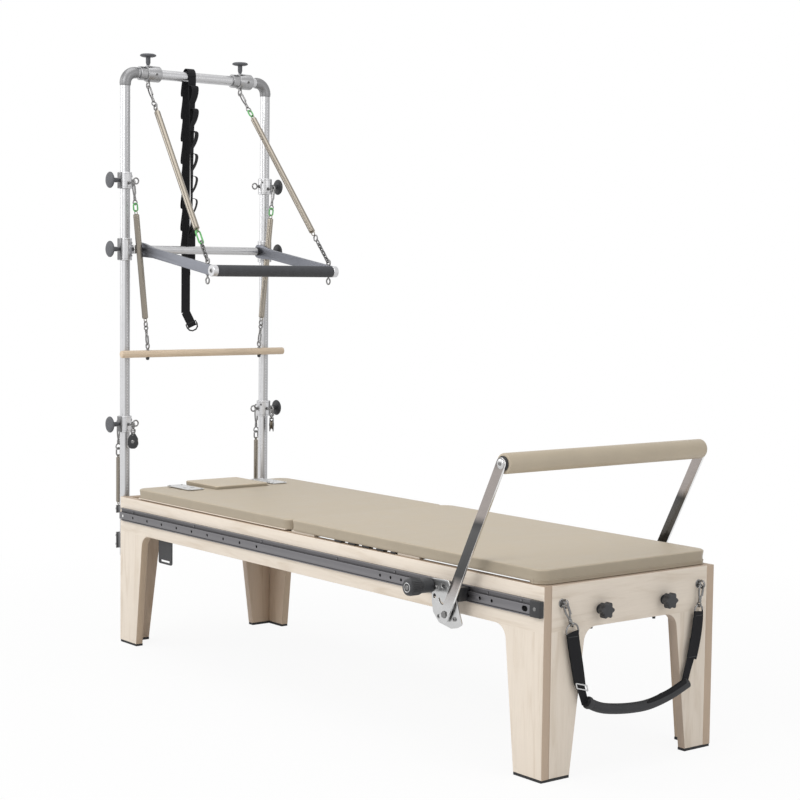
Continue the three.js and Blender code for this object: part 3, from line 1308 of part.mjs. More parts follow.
// Mat section: cushion and board on two strips and two rows of blocks
{
  const start = PAD_END + MAT_GAP;
  const end = FOOT - MAT_END;
  const half = MAT_WIDTH / 2;
  const floor = BED_HEIGHT + SEAT_GAP;
  const boardBottom = floor + MAT_RAISE;
  const boardTop = boardBottom + MAT_BOARD;
  const foam = cushion(
    at(start, -half, boardTop - PLAY),
    at(end, half, boardTop + MAT_THICK - MAT_RAISE),
    PAD_CORNER,
    PAD_SEGMENTS,
  );
  const edge = half - MAT_BOARD_INSET;
  const parts = [
    foam,
    box(at(start + MAT_BOARD_INSET, -edge, boardBottom), at(end - MAT_BOARD_INSET, edge, boardTop)),
  ];
  const strip = (from, length) => parts.push(box(
    at(start + from, -half + MAT_STRIP_INSET, floor),
    at(start + from + length, half - MAT_STRIP_INSET, boardBottom + PLAY),
  ));
  strip(MAT_BOARD_INSET, MAT_FIRST_STRIP);
  strip(MAT_SECOND_STRIP_START, MAT_SECOND_STRIP);
  strip(end - start - MAT_BOARD_INSET - MAT_STRIP_WIDTH * 2, MAT_STRIP_WIDTH);
  for (let i = 0; i < MAT_BLOCKS; i += 1) {
    const x = start + MAT_BLOCK_START + i * MAT_BLOCK_PITCH;
    for (const [, side] of SIDES) {
      const [inside, outside] = [side * (INNER + PLAY), side * (half - MAT_STRIP_INSET)];
      parts.push(box(
        at(x, Math.min(inside, outside), floor),
        at(x + MAT_BLOCK_LENGTH, Math.max(inside, outside), boardBottom + PLAY),
      ));
    }
  }
  piece('mat', 'vinyl', join(parts));
}

// Footbar brackets: a plate, a shoe with tongues in the rail's grooves, and the pivot pin
const PIVOT_X = HEAD + BRACKET_START + FOOTBAR_PIVOT_ALONG;
const PIVOT_Z = BRACKET_BOTTOM + FOOTBAR_PIVOT_RAISE;

const BRACKET_OUTLINE_SHARES = [
  [0, 0.98, 0.03], [0.53, 1, 0.06], [0.8, 0.62, 0.1], [1, 0.13, 0.06], [0.84, 0.04, 0.06],
  [0.65, 0, 0.05], [0.25, 0.07, 0.12], [0.05, 0.26, 0.12], [0, 0.5, 0.1],
];
const BRACKET_LATCH_SHARES = [[0.58, 0.17], [0.8, 0.19]];
const BRACKET_HOLE_SHARES = [[0.09, 0.61], [0.37, 0.86]];

function footbarBracket() {
  const left = HEAD + BRACKET_START;
  const height = BRACKET_TOP - BRACKET_BOTTOM;
  const spot = (u, v) => [left + u * BRACKET_LENGTH, BRACKET_BOTTOM + v * height];
  const corners = BRACKET_OUTLINE_SHARES.map(([u, v, round]) => [...spot(u, v), round * height]);
  const holes = BRACKET_HOLE_SHARES.map(([u, v]) => {
    const centre = new THREE.Vector2(...spot(u, v));
    return disc(BRACKET_HOLE_RADIUS, TINY_ROUND).map((point) => point.add(centre));
  });
  const shoeEnd = left + BRACKET_SHOE_LENGTH;
  const shoeFace = RAIL_FACE + RAIL_LAND + RUN_GAP;
  const plateBack = BRACKET_FACE - BRACKET_THICK;
  const landTop = RAIL_BOTTOM + RAIL_HEIGHT - RAIL_LIP_HEIGHT - RAIL_UPPER_GROOVE;
  const landBottom = RAIL_BOTTOM + RAIL_LIP_HEIGHT + RAIL_LOWER_GROOVE;
  const tongueIn = RAIL_FACE + RAIL_BACK + RUN_GAP;
  const upperLip = RAIL_BOTTOM + RAIL_HEIGHT - RAIL_LIP_HEIGHT;
  const lowerLip = RAIL_BOTTOM + RAIL_LIP_HEIGHT;
  const pin = at(PIVOT_X, plateBack + PLAY, PIVOT_Z);
  const armBack = FOOTBAR_ARM_FACE - FOOTBAR_ARM_THICK;
  const latches = BRACKET_LATCH_SHARES.map(([u, v]) => {
    const [x, z] = spot(u, v);
    const through = (y) => at(x, y, z);
    const ends = [through(plateBack - OVERRUN), through(BRACKET_FACE + OVERRUN)];
    return rod(...ends, BRACKET_LATCH_RADIUS, TINY_ROUND);
  });
  const plate = cut(
    board('side', outline(corners), -BRACKET_FACE, BRACKET_THICK, 0, holes),
    latches,
  );
  return join(
    plate,
    box(at(left, shoeFace, lowerLip + RUN_GAP), at(shoeEnd, plateBack + PLAY, upperLip - RUN_GAP)),
    box(at(left, tongueIn, landTop + RUN_GAP), at(shoeEnd, shoeFace + PLAY, upperLip - RUN_GAP)),
    box(at(left, tongueIn, lowerLip + RUN_GAP), at(shoeEnd, shoeFace + PLAY, landBottom - RUN_GAP)),
    rod(pin, at(PIVOT_X, armBack - SEAT_GAP, PIVOT_Z), PIVOT_HEAD_RADIUS),
    rod(pin, at(PIVOT_X, FOOTBAR_ARM_FACE + PLAY, PIVOT_Z), PIVOT_PIN_RADIUS, PIN_ROUND),
    rod(
      at(PIVOT_X, FOOTBAR_ARM_FACE + SEAT_GAP, PIVOT_Z),
      at(PIVOT_X, FOOTBAR_ARM_FACE + PIVOT_HEAD_THICK, PIVOT_Z),
      PIVOT_HEAD_RADIUS,
    ),
  );
}

const farBracket = footbarBracket();
piece('footbar_bracket_near', 'chrome', acrossTheBed(farBracket));
piece('footbar_bracket_far', 'chrome', farBracket);

// Footbar: two flat arms welded to a core tube, with end caps beside the padded roller
const FOOTBAR_LEAN = radians(FOOTBAR_LEAN_DEG);
const BAR_X = PIVOT_X + FOOTBAR_LENGTH * Math.sin(FOOTBAR_LEAN);
const BAR_Z = PIVOT_Z + FOOTBAR_LENGTH * Math.cos(FOOTBAR_LEAN);
const ARM_BACK = FOOTBAR_ARM_FACE - FOOTBAR_ARM_THICK;

function footbar() {
  const half = FOOTBAR_ARM_WIDTH / 2;
  const round = half - PLAY;
  const profile = outline([
    [-half, -FOOTBAR_ARM_TAIL, round], [half, -FOOTBAR_ARM_TAIL, round],
    [half, FOOTBAR_LENGTH + half, round], [-half, FOOTBAR_LENGTH + half, round],
  ]);
  const hole = disc(PIVOT_PIN_RADIUS + PIN_GAP, PIN_ROUND);
  const arm = board('side', profile, -FOOTBAR_ARM_FACE, FOOTBAR_ARM_THICK, 0, [hole])
    .rotateY(FOOTBAR_LEAN).translate(PIVOT_X, 0, PIVOT_Z);
  const cap = rod(
    at(BAR_X, ARM_BACK - FOOTBAR_CAP_THICK, BAR_Z),
    at(BAR_X, ARM_BACK + PLAY, BAR_Z),
    FOOTBAR_CAP_RADIUS,
    ROUND,
  );
  const coreEnd = ARM_BACK + PLAY;
  const core = rod(at(BAR_X, -coreEnd, BAR_Z), at(BAR_X, coreEnd, BAR_Z), FOOTBAR_TUBE_RADIUS, ROUND);
  return join(arm, acrossTheBed(arm), cap, acrossTheBed(cap), core);
}

piece('footbar', 'chrome', footbar());

{
  const half = ARM_BACK - FOOTBAR_CAP_THICK - SEAT_GAP;
  const bore = FOOTBAR_TUBE_RADIUS + SEAT_GAP;
  const outer = FOOTBAR_PAD_RADIUS;
  const round = FOOTBAR_PAD_ROUND;
  piece('footbar_pad', 'vinyl', turned([
    [bore, 0], [outer - round, 0], [outer, round], [outer, 2 * half - round],
    [outer - round, 2 * half], [bore, 2 * half], [bore, 0],
  ], at(BAR_X, -half, BAR_Z), at(0, 1, 0)));
}

// Pull knobs on the brackets
for (const [name, side] of SIDES) {
  const base = at(HEAD + BRACKET_START + PLUNGER_ALONG, side * (BRACKET_FACE + SEAT_GAP), PLUNGER_HEIGHT);
  const waist = PLUNGER_LENGTH - PLUNGER_KNOB_LENGTH;
  piece(`footbar_knob_${name}`, 'knob', turned([
    [0, 0], [PLUNGER_RADIUS, 0], [PLUNGER_RADIUS, waist - PLUNGER_GROOVE],
    [PLUNGER_RADIUS - PLUNGER_GROOVE, waist], [PLUNGER_KNOB_RADIUS, waist + PLUNGER_GROOVE],
    [PLUNGER_KNOB_RADIUS, PLUNGER_LENGTH - PLUNGER_GROOVE],
    [PLUNGER_KNOB_RADIUS - PLUNGER_GROOVE, PLUNGER_LENGTH], [0, PLUNGER_LENGTH],
  ], base, at(0, side, 0)));
}

// Lobed hand knobs on the foot end
for (const [name, side] of SIDES) {
  const steps = STAR_KNOB_LOBES * 2;
  const lobes = Array.from({ length: steps }, (_, k) => {
    const angle = (2 * Math.PI * k) / steps;
    const radius = STAR_KNOB_RADIUS - STAR_KNOB_FLUTE * (1 / 2 + Math.cos(STAR_KNOB_LOBES * angle) / 2);
    return new THREE.Vector2(Math.cos(angle), Math.sin(angle)).multiplyScalar(radius);
  });
  const y = side * STAR_KNOB_OFFSET;
  const start = FOOT + SEAT_GAP;
  const head = board('end', lobes, start + STAR_KNOB_NECK, STAR_KNOB_HEAD, STAR_KNOB_EDGE)
    .translate(0, y, STAR_KNOB_HEIGHT);
  const neck = rod(
    at(start, y, STAR_KNOB_HEIGHT),
    at(start + STAR_KNOB_NECK + PLAY, y, STAR_KNOB_HEIGHT),
    STAR_KNOB_NECK_RADIUS,
  );
  piece(`star_knob_${name}`, 'knob', join(head, neck));
}

// Strap at the foot end: rings, snaps and webbing that carry a foam handle
function endStrap() {
  const x = FOOT + SEAT_GAP + EYE_RADIUS + EYE_WIRE;
  const webTop = STRAP_EYE_HEIGHT - HANDLE_WEB_DROP;
  const parts = [];
  for (const [, side] of SIDES) {
    const ringCentre = at(x, side * STRAP_EYE_OFFSET, STRAP_EYE_HEIGHT);
    const dee = [side * HANDLE_WEB_OFFSET, webTop - HANDLE_WEB_THICK];
    const deeTop = at(x, dee[0], dee[1] + HANDLE_DEE_HEIGHT);
    const down = deeTop.clone().sub(ringCentre).normalize();
    parts.push(ring(ringCentre, at(0, 1, 0), EYE_RADIUS, EYE_WIRE));
    parts.push(link(
      ringCentre.clone().addScaledVector(down, hookIn(-EYE_WIRE)),
      deeTop.clone().addScaledVector(down, -(SNAP_WIDTH / 2 - SNAP_WIRE)),
      SNAP_WIDTH,
      SNAP_WIRE,
      at(0, 1, 0),
    ));
    const loop = (inset, round) => {
      const half = HANDLE_DEE_WIDTH / 2 - inset;
      return outline([
        [dee[0] - half, dee[1] + inset, round / 2], [dee[0] + half, dee[1] + inset, round / 2],
        [dee[0] + half, dee[1] + HANDLE_DEE_HEIGHT - inset, round],
        [dee[0] - half, dee[1] + HANDLE_DEE_HEIGHT - inset, round],
      ], LINK_STEPS);
    };
    const inner = loop(SNAP_WIRE, SNAP_WIRE);
    parts.push(board('end', loop(0, SNAP_WIDTH / 2), x - SNAP_WIRE / 2, SNAP_WIRE, 0, [inner]));
    const handleEnd = HANDLE_SHIFT + side * HANDLE_HALF;
    const handleZ = STRAP_EYE_HEIGHT - HANDLE_DROP + HANDLE_SAG;
    parts.push(board('end', outline([
      [side * (HANDLE_WEB_OFFSET - HANDLE_WEB_WIDTH / 2), webTop],
      [side * (HANDLE_WEB_OFFSET + HANDLE_WEB_WIDTH / 2), webTop],
      [handleEnd + (side * HANDLE_WEB_END) / 2, handleZ],
      [handleEnd - (side * HANDLE_WEB_END) / 2, handleZ],
    ]), x - HANDLE_WEB_THICK / 2, HANDLE_WEB_THICK));
  }
  const steps = HANDLE_STEPS;
  const route = new THREE.CatmullRomCurve3(Array.from({ length: steps + 1 }, (_, k) => {
    const t = (2 * k) / steps - 1;
    return at(
      FOOT + HANDLE_FORWARD,
      HANDLE_SHIFT + HANDLE_HALF * t,
      STRAP_EYE_HEIGHT - HANDLE_DROP + HANDLE_SAG * t * t,
    );
  }));
  parts.push(bentRod(route, HANDLE_RADIUS, steps, SMALL_ROUND));
  return join(parts);
}

piece('end_strap', 'webbing', endStrap());

// Assembly, with the origin under its middle
const assembly = new THREE.Group();
assembly.add(unit);
const bounds = new THREE.Box3().setFromObject(unit);
unit.position.x = -(bounds.min.x + bounds.max.x) / 2;

export default assembly;
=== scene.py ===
"""Dressed model of a reformer bed with a half tower, laid out as an add-on and run as a script."""
from math import cos, exp, pi, radians, sin, tau

import bmesh
import bpy
from mathutils import Matrix, Vector


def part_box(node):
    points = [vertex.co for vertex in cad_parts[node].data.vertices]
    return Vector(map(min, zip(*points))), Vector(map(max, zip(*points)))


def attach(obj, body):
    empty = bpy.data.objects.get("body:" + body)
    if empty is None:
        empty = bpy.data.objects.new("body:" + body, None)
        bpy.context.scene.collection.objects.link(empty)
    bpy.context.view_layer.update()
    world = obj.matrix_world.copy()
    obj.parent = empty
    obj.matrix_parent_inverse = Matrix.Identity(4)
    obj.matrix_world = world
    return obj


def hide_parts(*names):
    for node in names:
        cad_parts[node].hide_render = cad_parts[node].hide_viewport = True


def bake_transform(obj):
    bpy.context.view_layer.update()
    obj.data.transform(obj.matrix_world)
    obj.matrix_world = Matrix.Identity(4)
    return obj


bl_info = {
    "name": "Reformer with half tower",
    "version": (1, 0, 0),
    "blender": (4, 5, 0),
    "location": "View3D > Sidebar > Reformer",
    "description": "Builds the dressed reformer around its packed frame",
    "category": "Object",
}

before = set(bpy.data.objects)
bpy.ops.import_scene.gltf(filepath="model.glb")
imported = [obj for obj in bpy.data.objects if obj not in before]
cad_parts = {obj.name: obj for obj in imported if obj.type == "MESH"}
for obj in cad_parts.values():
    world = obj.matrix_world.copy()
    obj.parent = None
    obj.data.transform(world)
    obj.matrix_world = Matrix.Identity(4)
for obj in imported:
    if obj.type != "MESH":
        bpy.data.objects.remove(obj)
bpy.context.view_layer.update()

MM = 0.001
HALF_BED = 1190
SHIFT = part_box("side_panel_near")[0].x / MM + HALF_BED
SIDES = (("near", -1), ("far", 1))
ALONG, ACROSS, UP = Vector((1, 0, 0)), Vector((0, 1, 0)), Vector((0, 0, 1))

# Places and sizes that several pieces share, in mm from the middle of the bed's floor line
LOWER_LEVEL = {"near": 836, "far": 872}
FRONT_EYE, REAR_EYE = 62, -50
PIVOT_X, ARM_RUN, ARM_DROP = -1172, 505, 76
ARM_EYE_RUN, ARM_EYE_Y = 469, 269
DOWEL_Z, DOWEL_EYE_Y, DOWEL_EYE_Z = 1106, 255, 1136
BAR_PIVOT, BAR_LEAN, BAR_REACH = (835, 434), radians(27), 523
AXLE_Z = 524.3
SOCKET_X, SOCKET_OFFSETS, PLATE_Y = -956, (173.5, 204.5), 189
FOOT_EYE_Y, FOOT_EYE_Z = 281, 508


def at(x, y, z):
    """A place on the object, from millimetres measured from the middle of the bed."""
    return Vector(((x + SHIFT) * MM, y * MM, z * MM))


def off(place, direction, distance):
    """A place some millimetres away from another."""
    return place + direction * (distance * MM)


# ---------------------------------------------------------------- shapes

def spoke(side, third, angle):
    """The direction at an angle from one axis towards another."""
    return side * cos(angle) + third * sin(angle)


def skin(rows, count, closed=False):
    """The faces of a form made of rows with "count" points each, closed to a ring or capped."""
    faces = []
    for i in range(rows if closed else rows - 1):
        j = (i + 1) % rows
        for k in range(count):
            m = (k + 1) % count
            faces.append((i * count + k, i * count + m, j * count + m, j * count + k))
    if not closed:
        faces += [tuple(range(count))[::-1], tuple((rows - 1) * count + k for k in range(count))]
    return faces


def tube(path, radius, sides=20, closed=False):
    """A round bar swept along a path."""
    count = len(path)
    radii = radius if hasattr(radius, "__len__") else [radius] * count
    verts, side = [], None
    for i, point in enumerate(path):
        before = path[i - 1] if i or closed else path[0]
        after = path[(i + 1) % count] if i + 1 < count or closed else path[-1]
        ahead = (after - before).normalized()
        side = side or ahead.orthogonal().normalized()
        side = (side - ahead * side.dot(ahead)).normalized()
        third = ahead.cross(side)
        verts += [off(point, spoke(side, third, tau * k / sides), radii[i]) for k in range(sides)]
    return verts, skin(count, sides, closed)


def rod(start, end, radius, sides=24, edge=0.0):
    """A straight round bar with slightly broken edges."""
    if not edge:
        return tube([start, end], radius, sides)
    ahead = (end - start).normalized() * (edge * MM)
    radii = [radius - edge, radius, radius, radius - edge]
    return tube([start, start + ahead, end - ahead, end], radii, sides)


def rods(place, direction, rows):
    """Round bars on one line: each row holds start, end, radius, sides, broken edge and finish."""
    return [(rod(off(place, direction, start), off(place, direction, end), radius, sides, edge), finish)
            for start, end, radius, sides, edge, finish in rows]


def turned(profile, base, direction, steps=40):
    """A turned piece: (radius, height) points spun about a line."""
    spin = direction.to_track_quat("Z", "Y")
    closed = profile[0] == profile[-1]
    rows = profile[:-1] if closed else profile
    verts = []
    for radius, height in rows:
        for k in range(steps):
            angle = tau * k / steps
            verts.append(base + spin @ (Vector((radius * cos(angle), radius * sin(angle), height)) * MM))
    return verts, skin(len(rows), steps, closed)


def disc(*profile):
    """The profile of a solid turned piece, closed to its line at both ends."""
    return [(0, profile[0][1]), *profile, (0, profile[-1][1])]


def ring(centre, normal, radius, wire, steps=28, sides=12):
    """A wire ring that lies square to its normal."""
    side = normal.orthogonal().normalized()
    third = normal.normalized().cross(side)
    path = [off(centre, spoke(side, third, tau * k / steps), radius) for k in range(steps)]
    return tube(path, wire, sides, closed=True)


def loop_wire(top, bottom, width, wire, across, steps=8):
    """A long wire link with round ends, from the middle of one end's arc to the other's."""
    down = (bottom - top).normalized()
    side = (across - down * across.dot(down)).normalized()
    path = []
    for centre, way in ((top, -1), (bottom, 1)):
        path += [off(centre, spoke(side, down, pi * k / steps), width / 2 * way) for k in range(steps + 1)]
    return tube(path, wire, 10, closed=True)


def rounded(corners, steps=6):
    """A flat outline; each corner is (u, v) or (u, v, radius)."""
    points = []
    for i, corner in enumerate(corners):
        here = Vector(corner[:2])
        if len(corner) < 3 or not corner[2]:
            points.append(tuple(here))
            continue
        back = (Vector(corners[i - 1][:2]) - here).normalized()
        ahead = (Vector(corners[(i + 1) % len(corners)][:2]) - here).normalized()
        half = back.angle(ahead) / 2
        reach = corner[2] / max(1e-6, (sin(half) / cos(half)))
        centre = here + (back + ahead).normalized() * (corner[2] / sin(half))
        start, end = here + back * reach - centre, here + ahead * reach - centre
        sweep = start.angle_signed(end)
        for k in range(steps + 1):
            points.append(tuple(centre + Matrix.Rotation(-sweep * k / steps, 2) @ start))
    return points


def oblong(us, vs, corner=0, steps=6):
    """The outline of a rectangle between two values each way, with equal corners."""
    (left, right), (low, high) = us, vs
    spots = ((left, low), (right, low), (right, high), (left, high))
    return rounded([(*spot, corner) for spot in spots], steps)


def circle(u, v, radius, steps=24):
    return [(u + radius * cos(tau * k / steps), v + radius * sin(tau * k / steps)) for k in range(steps)]


PLANES = {"side": (ALONG, UP, -ACROSS), "end": (ACROSS, UP, ALONG), "flat": (ALONG, ACROSS, UP)}


def plate(plane, outlines, start, depth, edge=0.0, steps=2, origin=None):
    """A flat plate with holes. It starts at "start" along the plane's third direction."""
    curve = bpy.data.curves.new("plate", "CURVE")
    curve.dimensions, curve.fill_mode = "2D", "BOTH"
    curve.extrude = depth / 2 - edge
    curve.bevel_depth, curve.bevel_resolution, curve.offset = edge, steps, -edge
    for outline in outlines:
        spline = curve.splines.new("POLY")
        spline.points.add(len(outline) - 1)
        for point, (u, v) in zip(spline.points, outline):
            point.co = (u, v, 0, 1)
        spline.use_cyclic_u = True
    carrier = bpy.data.objects.new("plate", curve)
    bpy.context.scene.collection.objects.link(carrier)
    mesh = bpy.data.meshes.new_from_object(carrier.evaluated_get(bpy.context.evaluated_depsgraph_get()))
    u, v, w = PLANES[plane] if isinstance(plane, str) else plane
    origin = origin or at(0, 0, 0)
    places = [vert.co for vert in mesh.vertices]
    verts = [(u * p.x + v * p.y + w * (p.z + start + depth / 2)) * MM + origin for p in places]
    faces = [tuple(f.vertices) for f in mesh.polygons]
    bpy.data.objects.remove(carrier)
    bpy.data.curves.remove(curve)
    bpy.data.meshes.remove(mesh)
    return verts, faces


def taken_from(tool):
    """The shape that an edit mesh holds; the edit mesh is freed."""
    tool.verts.index_update()
    shape = [v.co.copy() for v in tool.verts], [tuple(v.index for v in f.verts) for f in tool.faces]
    tool.free()
    return shape


def slab(low, high, edge=1.0, steps=2):
    """A block between two places, with rounded edges."""
    tool = bmesh.new()
    bmesh.ops.create_cube(tool, size=1)
    size, middle = high - low, (high + low) / 2
    for vert in tool.verts:
        vert.co = vert.co * size + middle
    bmesh.ops.bevel(tool, geom=list(tool.edges), offset=edge * MM, segments=steps, affect="EDGES",
                    profile=0.5)
    return taken_from(tool)


def block(xs, ys, zs, edge=1.0, steps=2):
    """A block between two millimetre values each way, given in any order."""
    return slab(at(min(xs), min(ys), min(zs)), at(max(xs), max(ys), max(zs)), edge, steps)


def mirrored(shape):
    """The same shape on the other side of the bed."""
    return [Vector((v.x, -v.y, v.z)) for v in shape[0]], [tuple(reversed(f)) for f in shape[1]]


def sided(side, shapes):
    """Shapes modelled on the far side, put on the side asked for."""
    return shapes if side > 0 else [(mirrored(shape), finish) for shape, finish in shapes]


def both(shapes):
    """Shapes modelled on the far side, and the same on the near side."""
    return shapes + sided(-1, shapes)


def strip(path, normals, axes, widths, thick):
    """A flat band along a path, with a normal, a width direction and a width at each step."""
    verts = []
    for point, normal, axis, width in zip(path, normals, axes, widths):
        side, out = axis * (width / 2 * MM), normal * (thick / 2 * MM)
        verts += [point - side - out, point + side - out, point + side + out, point - side + out]
    return verts, skin(len(path), 4)


def neighbours(path):
    """The places before and after each step of an open path."""
    return [(path[max(i - 1, 0)], path[min(i + 1, len(path) - 1)]) for i in range(len(path))]


def smooth_path(points, steps=8):
    """A smooth curve through the points."""
    path = []
    for i in range(len(points) - 1):
        a, b, c, d = points[max(i - 1, 0)], points[i], points[i + 1], points[min(i + 2, len(points) - 1)]
        for k in range(steps):
            t = k / steps
            path.append(0.5 * ((2 * b) + (c - a) * t + (2 * a - 5 * b + 4 * c - d) * t * t
                               + (3 * b - a - 3 * c + d) * t ** 3))
    return [*path, points[-1]]


def coil(start, end, radius, wire, pitch):
    """A close-wound spring body between two places."""
    steps, sides = 14, 6
    axis = end - start
    turns = max(4, round(axis.length / MM / pitch))
    side = axis.normalized().orthogonal().normalized()
    third = axis.normalized().cross(side)
    total = turns * steps
    path = [off(start + axis * (i / total), spoke(side, third, tau * i / steps), radius)
            for i in range(total + 1)]
    return tube(path, wire, sides)


# ---------------------------------------------------------------- finishes

class Nodes:
    """A short way to write a node tree."""

    def __init__(self, tree):
        self.tree = tree

    def put(self, socket, value):
        if isinstance(value, bpy.types.NodeSocket):
            self.tree.links.new(value, socket)
        else:
            socket.default_value = value

    def node(self, kind, inputs=None, **settings):
        made = self.tree.nodes.new(kind)
        for key, value in settings.items():
            setattr(made, key, value)
        for key, value in (inputs or {}).items():
            self.put(made.inputs[key], value)
        return made

    def math(self, how, a, b=0.0):
        return self.node("ShaderNodeMath", {0: a, 1: b}, operation=how).outputs[0]

    def seen(self):
        """One for the rays that see the white room itself, and zero for those that it lights."""
        rays = self.node("ShaderNodeLightPath").outputs
        seen = self.math("MAXIMUM", rays["Is Camera Ray"], rays["Is Glossy Ray"])
        return self.math("MAXIMUM", seen, rays["Is Transmission Ray"])


class Graph(Nodes):
    """A finish and its nodes."""

    def __init__(self, name):
        self.material = bpy.data.materials.new(name)
        self.material.use_nodes = True
        super().__init__(self.material.node_tree)
        self.shader = self.tree.nodes["Principled BSDF"]
        self.place = self.node("ShaderNodeTexCoord").outputs["Object"]

    def stretched(self, scale):
        return self.node("ShaderNodeMapping", {"Vector": self.place, "Scale": scale}).outputs[0]

    def noise(self, vector, scale, detail=3.0, rough=0.5, distort=0.0):
        made = self.node("ShaderNodeTexNoise", {
            "Vector": vector, "Scale": scale, "Detail": detail, "Roughness": rough, "Distortion": distort})
        return made.outputs["Fac"]

    def ramp(self, value, *stops):
        """A colour ramp; each stop is a place with a colour or a grey."""
        made = self.node("ShaderNodeValToRGB", {"Fac": value})
        elements = made.color_ramp.elements
        while len(elements) < len(stops):
            elements.new(0.5)
        for element, (place, colour) in zip(elements, stops):
            element.position = place
            element.color = (*(colour if isinstance(colour, tuple) else (colour,) * 3), 1)
        return made.outputs["Color"]

    def mixed(self, share, a, b):
        made = self.node("ShaderNodeMix", data_type="RGBA")
        for key, value in ((0, share), (6, a), (7, b)):
            self.put(made.inputs[key], (*value, 1) if isinstance(value, tuple) else value)
        return made.outputs[2]

    def bump(self, height, strength, distance, **under):
        return self.node("ShaderNodeBump", {"Height": height, "Strength": strength, "Distance": distance,
                                            **under}).outputs[0]

    def finish(self, colour, rough, metal=0.0, bump=None, **sockets):
        """Sets the shader's sockets and hands back the material."""
        inputs = self.shader.inputs
        self.put(inputs["Base Color"], (*colour, 1) if isinstance(colour, tuple) else colour)
        self.put(inputs["Roughness"], rough)
        self.put(inputs["Metallic"], metal)
        if bump is not None:
            self.put(inputs["Normal"], bump)
        for key, value in sockets.items():
            self.put(inputs[key.replace("_", " ")], value)
        return self.material


def shade(colour, share):
    """A colour times one share, or times a share for each channel."""
    shares = share if isinstance(share, tuple) else (share,) * 3
    return tuple(c * s for c, s in zip(colour, shares))


def maple(name, along, light, dark, pores=0.12):
    """Pale ply veneer with its grain along one direction."""
    graph = Graph(name)

    def grain(long, short):
        return graph.stretched(tuple(long if axis == along else short for axis in "xyz"))

    figure = graph.noise(grain(1.1, 11), 2.6, 5, 0.55, 1.2)
    lines = graph.noise(grain(10, 240), 1.4, 3, 0.6)
    broad = graph.noise(graph.place, 3.5, 2, 0.5)
    tone = graph.ramp(figure, (0.28, dark), (0.5, light), (0.74, shade(light, 1.03)))
    veined = graph.mixed(graph.ramp(lines, (0.35, 1.0), (0.62, 0.0)), tone, shade(dark, 0.86))
    soft = graph.mixed(pores, tone, veined)
    colour = graph.mixed(graph.math("MULTIPLY", broad, 0.12), soft, shade(light, 0.9))
    rough = graph.ramp(lines, (0.3, 0.42), (0.7, 0.52))
    return graph.finish(colour, rough, bump=graph.bump(lines, 0.08, 0.0003), Specular_IOR_Level=0.4)


def satin_metal(name, colour, rough, streak, brushed):
    """Satin tube or plate with fine drawing marks."""
    graph = Graph(name)
    marks = graph.noise(graph.stretched(streak), 3.0, 4, 0.6)
    smear = graph.noise(graph.place, 9, 3, 0.6)
    tone = graph.ramp(marks, (0.3, shade(colour, 0.95)), (0.7, colour))
    shine = graph.ramp(smear, (0.25, rough * 0.85), (0.75, rough * 1.2))
    return graph.finish(tone, shine, 1.0, graph.bump(marks, brushed, 0.0002))


def painted_reflection_bar(name, light, dark):
    """Polished flat bar with a painted reflection: a room in long soft streaks, lighter and darker with its
    height.
    """
    graph = Graph(name)
    along, foot, head = (2.2, 2.2, 5.5), 0.41, 0.92
    spread = graph.noise(graph.stretched(along), 1.0, 2, 0.4, 0.4)
    lines = graph.noise(graph.stretched(shade(along, 14)), 2.0, 3, 0.6)
    # The tones below, set by height and broad noise, are a painted reflection of a room, not the bar's own
    # colour
    warm = shade(light, (0.62, 0.56, 0.53))
    height = graph.node("ShaderNodeSeparateXYZ", {0: graph.place}).outputs["Z"]
    level = graph.node("ShaderNodeMapRange", {0: height, 1: foot, 2: head, 3: 0.0, 4: 1.0}).outputs[0]
    wave = graph.math("ADD", level, graph.math("MULTIPLY", graph.math("SUBTRACT", spread, 0.5), 0.22))
    tone = graph.ramp(wave, (0.06, light), (0.2, warm), (0.27, dark), (0.56, shade(dark, 1.5)), (0.62, dark),
                      (0.68, warm), (0.9, warm), (1.0, dark))
    tone = graph.mixed(graph.math("MULTIPLY", lines, 0.2), tone, shade(dark, 0.5))
    return graph.finish(tone, 0.2, 1.0, graph.bump(lines, 0.03, 0.0002))


def ply_edge(name, across, light, dark):
    """The sanded edge of ply: thin layers that lie across one direction."""
    graph = Graph(name)
    layers = graph.node("ShaderNodeTexWave", {"Vector": graph.place, "Scale": 95.0, "Distortion": 0.6},
                        bands_direction=across).outputs["Fac"]
    fibre = graph.noise(graph.stretched((60, 60, 16)), 3.0, 4, 0.6)
    tone = graph.ramp(layers, (0.15, dark), (0.8, light))
    tone = graph.mixed(graph.math("MULTIPLY", fibre, 0.35), tone, shade(dark, 0.82))
    return graph.finish(tone, 0.55, bump=graph.bump(layers, 0.1, 0.0003), Specular_IOR_Level=0.3)


def moulded(name, colour, rough, grain, depth):
    """Moulded plastic or foam with a fine skin."""
    graph = Graph(name)
    pores = graph.noise(graph.place, grain, 2, 0.6)
    wear = graph.noise(graph.place, 40, 3, 0.6)
    tone = graph.ramp(wear, (0.3, shade(colour, 0.8)), (0.7, shade(colour, 1.15)))
    shine = graph.ramp(wear, (0.3, rough * 0.92), (0.7, min(1, rough * 1.1)))
    return graph.finish(tone, shine, bump=graph.bump(pores, depth, 0.0004))


